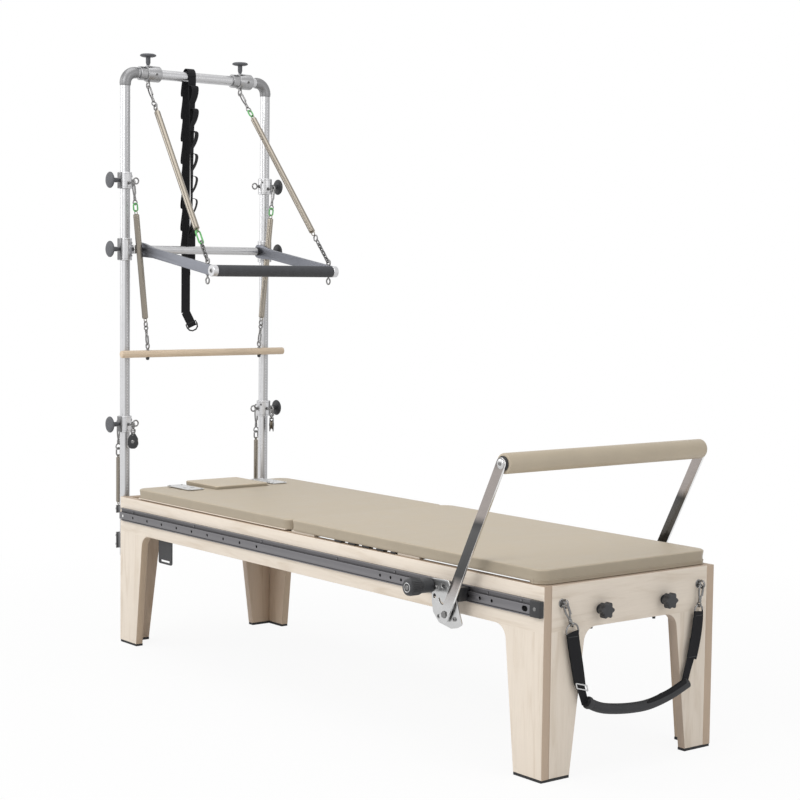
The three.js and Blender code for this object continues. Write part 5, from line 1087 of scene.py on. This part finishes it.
class REFORMER_OT_push_bar(bpy.types.Operator):
    """Make the push-through bar with its arms, tubes, eyes and foam grip"""
    bl_idname = "reformer.push_bar"
    bl_label = "Push-through bar"

    def execute(self, context):
        pivot = context.scene.reformer_tower.pivot
        slope = Vector((ARM_RUN, 0, -ARM_DROP)).normalized()
        rise = Vector((-slope.z, 0, slope.x))
        origin, grip = at(PIVOT_X, 0, pivot), at(PIVOT_X + ARM_RUN, 0, pivot - ARM_DROP)
        tip, half_end, half_arm = Vector((ARM_RUN, ARM_DROP)).length - 16, 26, 19
        upper = [(tip, half_arm, 3), (96, half_arm, 40), (22, half_end, 14), (-25, half_end, 18)]
        outline = rounded([*((u, -v, corner) for u, v, corner in reversed(upper)), *upper], 8)
        arm = plate((slope, rise, -ACROSS), [outline, circle(0, 0, 7.6, 32)], -275, 12, 1.0, origin=origin)
        half = [(arm, "arm")]
        half += rods(grip, ACROSS, [(256, 277, 21, 48, 1.5, "collar"), (254, 255.9, 19, 40, 0.6, "black"),
                                    (276.8, 278.4, 8, 32, 0.6, "link"), (278, 278.8, 4, 6, 0, "black")])
        half += rods(origin, ACROSS, [(252, 262, 16.6, 48, 0, "black"), (275, 277.5, 11, 32, 0.6, "link")])
        middle = off(off(origin, slope, ARM_EYE_RUN / slope.x), ACROSS, ARM_EYE_Y)
        for start, reach in ((17, 28), (-17, -42)):
            half += eyebolt(off(middle, UP, start), off(middle, UP, reach), ACROSS)
        shapes = both(half) + rods(origin, ACROSS, [(-265, 265, 15.5, 48, 0, "silver_painted_shade")])
        shapes += rods(grip, ACROSS, [(-260, 260, 17, 40, 0, "collar")])
        dress("push_through_bar", shapes, "push_bar")
        length, bore = 511.6, 17.3
        profile = [(bore, 0), (20, 0), (21, 1), (21, length - 1), (20, length), (bore, length), (bore, 0)]
        foam = turned(profile, off(grip, ACROSS, -length / 2), ACROSS, 48)
        piece = build("push_bar_foam", [(foam, "foam")], "push_bar", ["push_bar_grip"])
        return {"FINISHED"}


class REFORMER_OT_springs(bpy.types.Operator):
    """Make the springs with their snaps, links and chains"""
    bl_idname = "reformer.springs"
    bl_label = "Springs"

    def execute(self, context):
        settings = context.scene.reformer_springs
        tower = context.scene.reformer_tower
        x, y, radius = tower.post_x, tower.post_y, settings.radius
        ring_radius, ring_wire, arm_drop, eye_rise = 10.5, 2.8, 70.58, 28

        def span(eye, lower, start, tail, link):
            """A long spring with its top gear, the places where it gives, and where its lower gear hangs."""
            down = (lower - eye).normalized()
            end = (lower - eye).length / MM - tail
            shapes = wound_spring(eye, lower, start, end, radius, settings)
            shapes += top_gear(eye, lower, start, link, radius)
            gives = tuple(off(eye, down, start - 12)), tuple(off(eye, down, end - 4))
            return shapes, gives, down, off(eye, down, end + 2 * radius - 2), off(lower, down, -6.9)

        for name, side in SIDES:
            near = side < 0
            eye = at(x, -219 if near else 198, tower.top - 44)
            lower = at(PIVOT_X + ARM_EYE_RUN, side * ARM_EYE_Y, tower.pivot - arm_drop + eye_rise)
            shapes, gives, down, start, hang = span(eye, lower, 137, 152, "ring" if near else "green")
            pair = (f"push_spring_{name}", f"push_link_{name}")
            build(f"spring_push_{name}", shapes, replaces=[pair[0]], blend=(*pair, *gives))
            joint = start + (hang - start) * (0.36 if near else 0.24)
            if near:
                shapes = [(loop_wire(off(start, down, 3), off(joint, down, -2), 18, 3.2, ACROSS), "green")]
            else:
                shapes = [(ring((start + joint) / 2, ACROSS, 11, ring_wire), "link")]
            shapes += chain(off(joint, down, -1), off(hang, down, 1.5))
            dress(f"link_push_{name}", shapes, pair[1])

            eye = at(x + FRONT_EYE, side * y, tower.upper - 10)
            lower = at(x + FRONT_EYE, side * DOWEL_EYE_Y, DOWEL_EYE_Z)
            shapes, gives, down, start, hang = span(eye, lower, 124, 110, "green")
            shapes.append((ring(off(start, down, 8), ACROSS, ring_radius, ring_wire), "link"))
            shapes += snap_hook(off(hang, down, 2.5), off(start, down, 14), ALONG)
            build(f"spring_roll_{name}", shapes, replaces=[f"roll_down_spring_{name}"],
                  blend=("roll_down_springs", "roll_down_bar", *gives))

            eye, start, end, thin = at(x + REAR_EYE, side * y, LOWER_LEVEL[name]), 137, 302, radius * 0.72
            lower = off(eye, UP, -end)
            shapes = wound_spring(eye, lower, start, end, thin, settings)
            shapes += top_gear(eye, lower, start, "link", thin)
            dress(f"spring_low_{name}", shapes, f"lower_spring_{name}")
        return {"FINISHED"}


class REFORMER_OT_roll_down_bar(bpy.types.Operator):
    """Make the roll-down bar: a dowel with eyebolts and cap nuts"""
    bl_idname = "reformer.roll_down_bar"
    bl_label = "Roll-down bar"

    def execute(self, context):
        x = context.scene.reformer_tower.post_x + FRONT_EYE
        tip, length = ((11, 0), (13.2, 1.5), (14, 4)), 740
        profile = disc(*tip, *((radius, length - height) for radius, height in reversed(tip)))
        nut = [(0, 0), (4, 0.5), (6.5, 3), (7, 6), (7, 10.5), (9, 10.5), (9, 12), (0, 12)]
        shapes = [(turned(profile, at(x, -length / 2, DOWEL_Z), ACROSS, 40), "dowel")]
        for side in (-1, 1):
            y = side * DOWEL_EYE_Y
            shapes += eyebolt(at(x, y, DOWEL_Z + 11), at(x, y, DOWEL_EYE_Z), ACROSS)
            shapes.append((turned(nut, at(x, y, DOWEL_Z - 24), UP, 24), "black"))
        dress("roll_down_dowel", shapes, "roll_down_bar")
        return {"FINISHED"}


class REFORMER_OT_pulleys(bpy.types.Operator):
    """Make the pulleys: cheeks, wheel, axle and the snap that carries them"""
    bl_idname = "reformer.pulleys"
    bl_label = "Pulleys"

    def execute(self, context):
        tower = context.scene.reformer_tower
        hang_length, cheek = 63, ((12, -27, 13), (20, -10, 14), (18, 12, 10), (8, 29, 5))
        outline = rounded([*cheek, *((-u, v, corner) for u, v, corner in reversed(cheek))], 6)
        for name, side in SIDES:
            turn = radians(-38 if side < 0 else 52)
            axle = Vector((cos(turn), sin(turn), 0))
            hang = at(tower.post_x + FRONT_EYE, side * tower.post_y, LOWER_LEVEL[name])
            hub = off(hang, UP, -hang_length)
            shapes = [(plate((axle.cross(UP), UP, axle), [outline], start, 3, 0.6, origin=hub), "black")
                      for start in (-8, 5)]
            wheel = disc((19.5, 0), (19.5, 1.5), (16, 4.5), (19.5, 7.5), (19.5, 9))
            shapes.append((turned(wheel, off(hub, axle, -4.5), axle, 40), "spring"))
            for way in (-1, 1):
                cap = disc((6.5, 0), (6.5, 1.2), (5, 2))
                shapes.append((turned(cap, off(hub, axle, way * 8), axle * way, 28), "link"))
            shapes += rods(off(hub, UP, 26), axle, [(-8, 8, 3.4, 16, 0, "link")])
            shapes.append((ring(off(hub, UP, 34), axle, 7, 2.0), "link"))
            shapes += snap_hook(off(hub, UP, 33), off(hang, UP, -3), ACROSS)
            dress(f"pulley_block_{name}", shapes, f"pulley_{name}")
        return {"FINISHED"}


class REFORMER_OT_loop_strap(bpy.types.Operator):
    """Make the strap of sewn loops over the crossbar"""
    bl_idname = "reformer.loop_strap"
    bl_label = "Strap of loops"

    def execute(self, context):
        tower = context.scene.reformer_tower
        x, top, place = tower.post_x, tower.top, -36
        reach, width, thick, pitch = 20.9, 34, 2.2, 86.6
        foot, tail, end = 1464, 1258, 1262

        def eased(share):
            share = min(1, max(0, share))
            return share * share * (3 - 2 * share)

        def front_turn(z):
            return radians(54) * (1 - exp(-max(0, top - 20 - z) / 220)) * eased((z - 1545) / 70)

        def back_turn(z):
            return radians(-38) * eased((1560 - z) / 160)

        def twisted(turn):
            """The outward normal and the width direction of a strand turned about the vertical."""
            return Vector((cos(turn), sin(turn), 0)), Vector((-sin(turn), cos(turn), 0))

        def strand(rows, side, thickness=thick, wide=width, level=None):
            """A strand of rows, each a height and a distance out, turned as at one level or at its own."""
            path, axes = [], []
            for z, out in rows:
                normal, axis = twisted((front_turn if side > 0 else back_turn)(level or z))
                path.append(off(at(x + side * reach, place, z), normal, side * out))
                axes.append(axis)
            normals = [(after - before).normalized().cross(axis).normalized()
                       for (before, after), axis in zip(neighbours(path), axes)]
            return strip(path, normals, axes, [wide] * len(path), thickness), "webbing"

        shapes = []
        turns = [pi * k / 16 for k in range(17)]
        outward = [Vector((cos(a), 0, sin(a))) for a in turns]
        # Bends over the crossbar: reach along and up, lift, width, thickness
        for run, rise, lift, wide, deep in ((reach, reach, 0, width, thick),
                                            (reach + 1.6, reach + 9, 2, width - 1, 2.0)):
            bend = [at(x + run * cos(a), place, top + lift + rise * sin(a)) for a in turns]
            shapes.append((strip(bend, outward, [ACROSS] * 17, [wide] * 17, deep), "webbing"))
        turning = [1545 + 7 * k for k in range(11)]
        front = [foot, 1500, 1530, *turning, *(1640 + (top - 1640) * k / 40 for k in range(41))]
        shapes.append(strand([(z, 0) for z in front], 1))
        shapes.append(strand([(tail + (top - tail) * k / 60, 0) for k in range(61)], -1))
        # One loop and one swell: distance out and drop at each step
        loop = ((1, 0), (11, 0.6), (17, 3), (20, 8), (20.5, 16), (18, 29), (13.5, 42), (7.5, 54), (1.2, 64))
        swell = ((1, 77), (9, 76.4), (13, 74), (14.5, 66), (13, 54), (10, 40), (6.5, 26), (3.4, 12), (1, 0))
        for k in range(7):
            high = top - 34 - k * pitch
            shapes.append(strand([(high - drop, out) for out, drop in loop], 1, 1.9, 32))
        for k in range(9):
            high = top + 4 - k * pitch
            rows = [(high - drop, out) for out, drop in swell if high - drop < top - 6]
            shapes.append(strand(rows, -1, 1.9, 33))
        for z in (1405, 1330, 1270):
            shapes.append(strand([(z + 4, thick), (z - 4, thick)], -1, 1.4, width - 4, z))

        normal, axis = twisted(back_turn(1250))
        lean = radians(26)
        down = axis * sin(lean) - UP * cos(lean)
        cross = axis * cos(lean) + UP * sin(lean)
        start = at(x - reach, place, end)
        for out in (-1.6, 1.2):
            path = [off(off(start, normal, out), down, k * 10.5) for k in range(7)]
            shapes.append((strip(path, [normal] * 7, [cross] * 7, [width] * 7, thick), "webbing"))
        corners = [(-21, -8), (-21, 4), (-17, 16), (-7, 23), (7, 23), (17, 16), (21, 4), (21, -8), (0, -9)]
        dee = [off(off(off(start, down, 55), cross, u), down, v) for u, v in corners]
        shapes.append((tube(dee, 3.0, 10, closed=True), "rubber"))
        piece = dress("strap_of_loops", shapes, "loop_strap", 50)
        return {"FINISHED"}


class REFORMER_OT_upholstery(bpy.types.Operator):
    """Make the carriage pad, the headrest and the mat section"""
    bl_idname = "reformer.upholstery"
    bl_label = "Upholstery"

    def execute(self, context):
        low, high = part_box("carriage_pad")
        piece = build("carriage_cushion", shaded_at_sides(cushion(low, high, 38, 4)), "carriage",
                      ["carriage_pad"], 60)
        bay_low, bay_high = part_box("headrest")
        tools = [slab(Vector((low.x - 0.02, bay_low.y - 0.003, low.z - 0.02)),
                      Vector((bay_high.x + 0.003, bay_high.y + 0.003, high.z + 0.02)), 4.0, 4)]
        for side in (-1, 1):
            for offset in SOCKET_OFFSETS:
                spot = at(SOCKET_X, side * offset, 0)
                tools.append(rod(spot + UP * (low.z - 0.01), spot + UP * (high.z + 0.01), 12.5, 32))
        for shape in tools:
            cut_away(piece, shape)

        low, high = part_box("headrest")
        head = cushion(low, off(high, UP, 7), 12, 3, 2.0, 5.0)
        # The headrest's top takes the lighter vinyl with painted light
        piece = dress("headrest_cushion", shaded_at_sides(head, "vinyl_head"), "headrest", 60)

        low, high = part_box("mat")
        base = off(low, UP, 7.6)
        shapes = shaded_at_sides(cushion(base, high, 40, 4))
        lip = cushion(low + Vector((1.172, 0, 0.0004)), Vector((high.x, high.y, base.z + 0.006)), 40, 0, 1, 2)
        shapes.append((lip, "vinyl_side"))
        # Maple strips under the mat, darker with painted shade
        for start, length in ((14, 130), (574, 120)):
            corner = off(off(low, ALONG, start), ACROSS, 5)
            far = Vector((corner.x + length * MM, high.y - 5 * MM, low.z + 8.4 * MM))
            shapes.append((slab(corner, far, 0.8), "maple_strip_painted_shade"))
        first, foot, pitch, length = low.x / MM - SHIFT + 255, low.z / MM, 74, 38
        starts = [first + pitch * k for k in range(5)]
        blocks = [(block((x, x + length), (322, 340), (foot, foot + 9), 1.5), "black") for x in starts]
        piece = dress("mat_cushion", shapes + both(blocks), "mat", 60)
        return {"FINISHED"}


class REFORMER_OT_carriage(bpy.types.Operator):
    """Make the carriage frame with its shoulder-rest plates, and the wheels"""
    bl_idname = "reformer.carriage"
    bl_label = "Carriage"

    def execute(self, context):
        ends, axles = (-1058, -107), (("head", -978), ("foot", -187))
        low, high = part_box("carriage_pad")
        batten = slab(Vector((low.x + 0.02, high.y - 0.03, low.z - 0.0002)),
                      Vector((high.x - 0.02, high.y - 0.0004, low.z + 0.0034)), 0.4)
        beam = [oblong(ends, (510.2, 560)), *(circle(x, AXLE_Z, 6.4) for _, x in axles)]
        plate_xs, plate_ys = (-1062, -896), (PLATE_Y - 35, PLATE_Y + 35)
        holes = [circle(SOCKET_X, offset, 9, 32) for offset in SOCKET_OFFSETS]
        half = [(batten, "maple_beam"), (plate("side", beam, -269, 18, 0.6), "steel_black"),
                (plate("flat", [oblong(plate_xs, plate_ys, 12), *holes], 605.3, 3, 0.6), "chrome")]
        socket = [(9, 0), (12, 0), (12, 45), (9, 45), (9, 0)]
        screw = disc((4.5, 0), (4.0, 0.9), (2.5, 1.3))
        for offset in SOCKET_OFFSETS:
            half.append((turned(socket, at(SOCKET_X, offset, 560.7), UP, 32), "chrome"))
        for x in (-1050, -908):
            for offset in (-26, 26):
                half.append((turned(screw, at(x, PLATE_Y + offset, 608), UP, 20), "link"))
        shapes = [(block(ends, (-269, 269), (558.7, 563.7), 0.8), "steel_black"), *both(half)]
        build("carriage_chassis", shapes, "carriage", ["carriage_frame"])
        profile = disc((12, 0), (12, 1.5), (20, 1.5), (23, 0), (24, 1.5), (24, 14.5), (23, 16), (20, 14.5),
                       (12, 14.5), (12, 16))
        for name, x in axles:
            shapes = rods(at(x, 0, AXLE_Z), ACROSS, [(-310, 310, 6, 24, 0, "link")])
            shapes += both([(turned(profile, at(x, 294, AXLE_Z), ACROSS, 48), "knob")])
            dress(f"wheels_{name}", shapes, f"wheelset_{name}")
        return {"FINISHED"}


# The bracket's outline: shares of its length and height, and of the height for each corner's radius
BRACKET_SHARES = ((0, 0.98, 0.03), (0.53, 1, 0.06), (0.8, 0.62, 0.1), (1, 0.13, 0.06), (0.84, 0.04, 0.06),
                  (0.65, 0, 0.05), (0.25, 0.07, 0.12), (0.05, 0.26, 0.12), (0, 0.5, 0.1))


class REFORMER_OT_footbar(bpy.types.Operator):
    """Make the footbar, its roller, the brackets and their pull knobs"""
    bl_idname = "reformer.footbar"
    bl_label = "Footbar"

    def bracket(self):
        """A bracket's plate with its holes, the shoe that rides on the rail, and its bolts."""
        start, foot, length, height, slot_half = 760, 393, 140, 141, 3.4
        corners = [(start + u * length, foot + v * height, r * height) for u, v, r in BRACKET_SHARES]
        bend = smooth_path([Vector(point) for point in ((794, 476), (801, 464), (815, 459), (822, 448))], 5)
        flow = [(after - before).normalized() * slot_half for before, after in neighbours(bend)]
        slot = [(p.x - d.y, p.y + d.x) for p, d in zip(bend, flow)]
        slot += [(p.x + d.y, p.y - d.x) for p, d in zip(reversed(bend), reversed(flow))]
        bores = ((772.6, 479, 7), (811.8, 514.3, 7), (858, 484, 6), (850, 462, 4.5))
        outlines = [rounded(corners), *(circle(*bore) for bore in bores), slot]
        shapes = [(plate("side", outlines, -404, 5, 0.8), "chrome")]
        for ys, zs, edge in (((365.8, 399.5), (475.5, 516.5), 1.5), ((356.8, 368), (505.5, 516.5), 0.5),
                             ((356.8, 368), (475.5, 478.5), 0.5)):
            shapes.append((block((start, 878), ys, zs, edge), "steel_black"))
        pivot_x, pivot_z = BAR_PIVOT
        shapes += rods(at(pivot_x, 0, pivot_z), ACROSS,
                       [(401, 409.6, 11, 32, 0.6, "link"), (401, 420, 6.9, 32, 0, "link"),
                        (418.3, 422, 11, 6, 0.8, "link")])
        for x, z in ((797, 422), (868, 424), (780, 505)):
            shapes += rods(at(x, 0, z), ACROSS,
                           [(403.5, 408.5, 6.5, 32, 1.0, "link"), (408, 409, 3.2, 6, 0, "black")])
        return shapes

    def plunger(self, side):
        """A bracket's pull knob, ribbed about its grip."""
        ribs, base, out = 26, at(752, side * 404.3, 509), ACROSS * side
        profile = disc((20, 0), (22, 1.5), (22, 34), (20.5, 37), (19, 40), (22.5, 43), (25, 46), (25, 82),
                       (23.5, 86), (20, 88))
        shapes = [(turned(profile, base, out, 56), "knob")]
        for k in range(ribs):
            rib = off(base, spoke(ALONG, UP, tau * k / ribs), 24.8)
            shapes += rods(rib, out, [(48, 80, 1.2, 6, 0, "knob")])
        shapes.append((ring(off(base, out, 87.6), ACROSS, 13.5, 1.3, 40, 8), "chrome"))
        return shapes + rods(base, out, [(87, 89, 7.5, 32, 0.8, "link")])

    def execute(self, context):
        for name, side in SIDES:
            build(f"bracket_{name}", sided(side, self.bracket()), "footbar_brackets",
                  [f"footbar_bracket_{name}"])
            dress(f"plunger_{name}", self.plunger(side), f"footbar_knob_{name}")
        up, fore = spoke(UP, ALONG, BAR_LEAN), spoke(ALONG, -UP, BAR_LEAN)
        pivot = at(BAR_PIVOT[0], 0, BAR_PIVOT[1])
        bar = off(pivot, up, BAR_REACH)
        corners = [(-18, -24, 15), (18, -24, 15), (18, 541, 17), (-18, 541, 17)]
        arm = plate((fore, up, -ACROSS), [rounded(corners, 8), circle(0, 0, 7.6, 32)], -418, 8, 1.4, 3, pivot)
        # Flat sides take the painted reflection; the edges take a lighter copy of the chrome as a painted
        # highlight
        half = split(arm, lambda normal, *_: "polished" if abs(normal.y) > 0.8 else "polished_edge")
        washer, cap = disc((22, 0), (22, 4.5)), disc((15, 0), (13, 1.6), (8, 2.6), (8, 1.4))
        half.append((turned(washer, off(bar, ACROSS, 405.8), ACROSS, 40), "black"))
        half.append((turned(cap, off(bar, ACROSS, 418), ACROSS, 40), "chrome"))
        half += rods(bar, ACROSS, [(418, 421.4, 5.5, 6, 0.6, "link")])
        shapes = both(half) + rods(bar, ACROSS, [(-411, 411, 16, 40, 0, "link")])
        dress("footbar_arms", shapes, "footbar")
        bore, length = 16.3, 811.4
        tip = ((26, 0), (28.8, 1.2), (30, 5))
        far_tip = [(radius, length - height) for radius, height in reversed(tip)]
        profile = [(bore, 0), *tip, *far_tip, (bore, length), (bore, 0)]
        roller = turned(profile, off(bar, ACROSS, -length / 2), ACROSS, 64)
        piece = build("footbar_roller", [(roller, "vinyl")], "footbar", ["footbar_pad"])
        return {"FINISHED"}


def level_axes(path):
    """The width direction at each step of a band in the plane of an end board."""
    return [(after - before).normalized().cross(ALONG).normalized() for before, after in neighbours(path)]


class REFORMER_OT_foot_end(bpy.types.Operator):
    """Make the lobed knobs, the eyebolts and the strap with its foam handle"""
    bl_idname = "reformer.foot_end"
    bl_label = "Foot end"

    # The strap's runs: across, height and width at each point
    NEAR = [(-252, 424, 43), (-246, 390, 43), (-232, 330, 42), (-222, 285, 40), (-216, 262, 36)]
    NEAR_TAIL = [(-217, 268, 30), (-209, 246, 27), (-202, 228, 26), (-196, 212, 26)]
    FAR = [(269, 428, 36), (266, 400, 42), (259, 352, 43), (247, 305, 43), (242, 288, 42)]
    FAR_TAIL = [(256, 345, 36), (248, 310, 34), (238, 278, 29), (228, 250, 27), (219, 222, 27)]
    # The handle's and the outer layer's run: across and height at each point
    GRIP = [(-196, 217), (-150, 196), (-99, 184), (-20, 175), (58, 175), (142, 191), (219, 217)]
    SLEEVE = [(40, 178), (90, 184), (142, 195), (205, 217)]

    def fittings(self):
        """The lobed knobs and the eyebolts' plates on the end board."""
        lobe_count, knob_y, knob_z = 6, 132, 476
        lobes = [(21.6 + 3.3 * cos(lobe_count * tau * k / 96), tau * k / 96) for k in range(96)]
        for name, side in SIDES:
            outline = [(reach * cos(a) + side * knob_y, reach * sin(a) + knob_z) for reach, a in lobes]
            neck = disc((14, 0), (14, 2), (11, 3), (11, 15))
            shapes = [(plate("end", [outline], 1204.3, 24, 3.5, 4), "knob"),
                      (turned(neck, at(1190.3, side * knob_y, knob_z), ALONG, 32), "knob")]
            dress(f"lobed_knob_{name}", shapes, f"star_knob_{name}")
            eye = at(HALF_BED, side * FOOT_EYE_Y, FOOT_EYE_Z)
            shapes = [(turned(disc((13, 0), (13, 1), (10.5, 2.2)), eye, ALONG, 32), "link")]
            build(f"eyebolt_{name}", shapes + rods(eye, ALONG, [(0, 6, 4.5, 20, 0, "link")]))

    def gear(self, x):
        """The strap's rings, snaps, and the buckle's bars."""
        shapes = []
        for side, y, z, half in ((-1, -252, 420, 23.5), (1, 270, 424, 17)):
            centre = at(x, side * FOOT_EYE_Y, FOOT_EYE_Z)
            shapes.append((ring(centre, ACROSS, 11, 2.9), "link"))
            shapes += snap_hook(off(centre, UP, -2), at(x, y + side, 440), ACROSS)
            path = [at(x, y + half * cos(pi * k / 16), z + 6 + half * sin(pi * k / 16)) for k in range(17)]
            path += [at(x, y - half, z), at(x, y + half, z)]
            shapes.append((tube(path, 2.6, 10, closed=True), "link"))
        buckle, long, slope = at(x + 4.6, -216, 270), (-22, 21), 0.28
        for drop in (0, 15):
            bar = [buckle + at(-SHIFT, dy + drop * 0.3, dz - drop) for dy, dz in zip(long, (6, -6))]
            shapes.append((rod(*bar, 2.2, 14), "chrome"))
        for dy in long:
            bar = [buckle + at(-SHIFT, dy + drop * 0.3, -drop - dy * slope) for drop in (0, 15)]
            shapes.append((rod(*bar, 2.0, 14), "chrome"))
        return shapes

    def execute(self, context):
        self.fittings()
        x, outer, inner, thick = 1203.5, 2.2, -1.4, 2.4
        shapes = []

        def level(path, widths, thickness):
            """A band whose flat side faces along the bed."""
            shapes.append((strip(path, [ALONG] * len(path), level_axes(path), widths, thickness), "webbing"))

        def band(points, out):
            spine = smooth_path([Vector(p) for p in points], 4)
            level([at(x + out, p.x, p.y) for p in spine], [p.z for p in spine], thick)

        band(self.NEAR, outer)
        band([*self.NEAR[:-1], (-219, 272, 37)], inner)
        band(self.NEAR_TAIL, 0.2)
        band(self.FAR, outer)
        band(self.FAR_TAIL, inner)
        for run in (self.NEAR, self.FAR):
            for y, z, width in (run[0], run[-2]):
                half = width / 2 - 3
                seam = block((x + 3.2, x + 4.0), (y - half, y + half), (z - 14, z - 12), 0.3)
                shapes.append((seam, "black"))
        grip = smooth_path([at(1210, y, z) for y, z in self.GRIP], 8)
        level(grip, [24] * len(grip), 2.2)
        foams = tube(grip, 15.6, 28), tube(grip[:4], [14, 18.4, 18.4, 16], 28)
        handle = [(foam, "foam_dark") for foam in foams]
        sleeve = smooth_path([at(1219, y, z) for y, z in self.SLEEVE], 5)
        level([off(p, UP, 3) for p in sleeve], [10 + 18 * min(1, i / 6) for i in range(len(sleeve))], 8.6)
        piece = dress("foot_strap", shapes, "end_strap", 45)
        build("foot_strap_handle", handle, "end_strap")
        build("foot_strap_gear", self.gear(x), "end_strap")
        return {"FINISHED"}


class REFORMER_OT_stage(bpy.types.Operator):
    """Set the floor, the lamps, the world and the camera"""
    bl_idname = "reformer.stage"
    bl_label = "Stage"

    # Lamps: name, place in metres, size in metres, power in watts
    LAMPS = (("key", (1.5, -5.5, 4.2), 3.0, 135.0), ("side", (-4.8, -5.2, 3.4), 3.5, 90.0),
             ("top", (-0.5, -0.5, 6.0), 4.0, 85.0), ("end", (6.0, 1.5, 3.0), 3.0, 42.0))
    AIM = Vector((0, 0, 0.8))

    def floor(self, scene):
        reach = 40.0
        mesh = bpy.data.meshes.new("floor")
        corners = [(-reach, -reach, 0), (reach, -reach, 0), (reach, reach, 0), (-reach, reach, 0)]
        mesh.from_pydata(corners, [], [(0, 1, 2, 3)])
        floor = bpy.data.objects.new("floor", mesh)
        scene.collection.objects.link(floor)
        graph = Graph("Pale floor")
        graph.finish((0.86, 0.86, 0.86), 0.9)
        away = graph.node("ShaderNodeVectorMath", {0: graph.place}, operation="LENGTH").outputs["Value"]
        clear = graph.node("ShaderNodeMapRange", {0: away, 1: 1.4, 2: 3.2, 3: 0.92, 4: 1.0}).outputs[0]
        white = graph.node("ShaderNodeEmission", {"Color": (1, 1, 1, 1), "Strength": 1.0})
        share = graph.math("MULTIPLY", graph.seen(), clear)
        blend = graph.node("ShaderNodeMixShader", {0: share, 1: graph.shader.outputs[0], 2: white.outputs[0]})
        graph.put(graph.tree.nodes["Material Output"].inputs["Surface"], blend.outputs[0])
        mesh.materials.append(graph.material)

    def world(self, scene):
        scene.world = bpy.data.worlds.new("Studio")
        scene.world.use_nodes = True
        nodes = Nodes(scene.world.node_tree)
        nodes.tree.nodes.clear()
        white = (1, 1, 1, 1)
        lit, shown = (nodes.node("ShaderNodeBackground", {"Color": white, "Strength": strength}).outputs[0]
                      for strength in (0.52, 1.0))
        mix = nodes.node("ShaderNodeMixShader", {0: nodes.seen(), 1: lit, 2: shown}).outputs[0]
        nodes.node("ShaderNodeOutputWorld", {"Surface": mix})

    def lamps(self, scene):
        for name, place, size, power in self.LAMPS:
            data = bpy.data.lights.new(name, "AREA")
            data.size, data.energy = size, power
            lamp = bpy.data.objects.new(name, data)
            lamp.location = place
            lamp.rotation_euler = (self.AIM - Vector(place)).to_track_quat("-Z", "Y").to_euler()
            scene.collection.objects.link(lamp)

    def camera(self, scene):
        data = bpy.data.cameras.new("camera")
        data.sensor_width, data.lens, data.clip_end = 36.0, 81.44, 200
        camera = bpy.data.objects.new("camera", data)
        scene.collection.objects.link(camera)
        turn, pitch, roll = 2.47333, 0.0732505, 0.0122588
        place = at(4865.17, -3773.53, 1447.49)
        ahead = Vector((cos(turn) * cos(pitch), sin(turn) * cos(pitch), -sin(pitch)))
        level = ahead.cross(UP).normalized()
        above = level.cross(ahead)
        axes = Matrix((spoke(level, above, roll), spoke(above, -level, roll), -ahead))
        camera.matrix_world = Matrix.Translation(place) @ axes.transposed().to_4x4()
        scene.camera = camera

    def execute(self, context):
        scene = context.scene
        scene.view_settings.view_transform = "Standard"
        for part in (self.floor, self.world, self.lamps, self.camera):
            part(scene)
        return {"FINISHED"}


class REFORMER_PT_panel(bpy.types.Panel):
    """Lists the steps of the build"""
    bl_label = "Reformer"
    bl_idname = "REFORMER_PT_panel"
    bl_space_type = "VIEW_3D"
    bl_region_type = "UI"
    bl_category = "Reformer"

    def draw(self, context):
        for step in STEPS:
            self.layout.operator(step.bl_idname)


STEPS = (
    REFORMER_OT_stage, REFORMER_OT_finishes, REFORMER_OT_boards, REFORMER_OT_rails, REFORMER_OT_tower,
    REFORMER_OT_collars, REFORMER_OT_push_bar, REFORMER_OT_springs, REFORMER_OT_roll_down_bar,
    REFORMER_OT_pulleys, REFORMER_OT_loop_strap, REFORMER_OT_carriage, REFORMER_OT_upholstery,
    REFORMER_OT_footbar, REFORMER_OT_foot_end,
)
GROUPS = {"reformer_bed": BedSettings, "reformer_tower": TowerSettings, "reformer_springs": SpringSettings,
          "reformer_colours": ColourSettings}


def register():
    for group in GROUPS.values():
        bpy.utils.register_class(group)
    for step in (*STEPS, REFORMER_PT_panel):
        bpy.utils.register_class(step)
    for name, group in GROUPS.items():
        setattr(bpy.types.Scene, name, bpy.props.PointerProperty(type=group))


def unregister():
    for name in GROUPS:
        delattr(bpy.types.Scene, name)
    for step in (REFORMER_PT_panel, *reversed(STEPS)):
        bpy.utils.unregister_class(step)
    for group in reversed(list(GROUPS.values())):
        bpy.utils.unregister_class(group)


def main():
    register()
    for step in STEPS:
        family, name = step.bl_idname.split(".")
        getattr(getattr(bpy.ops, family), name)()


if __name__ == "__main__":
    main()
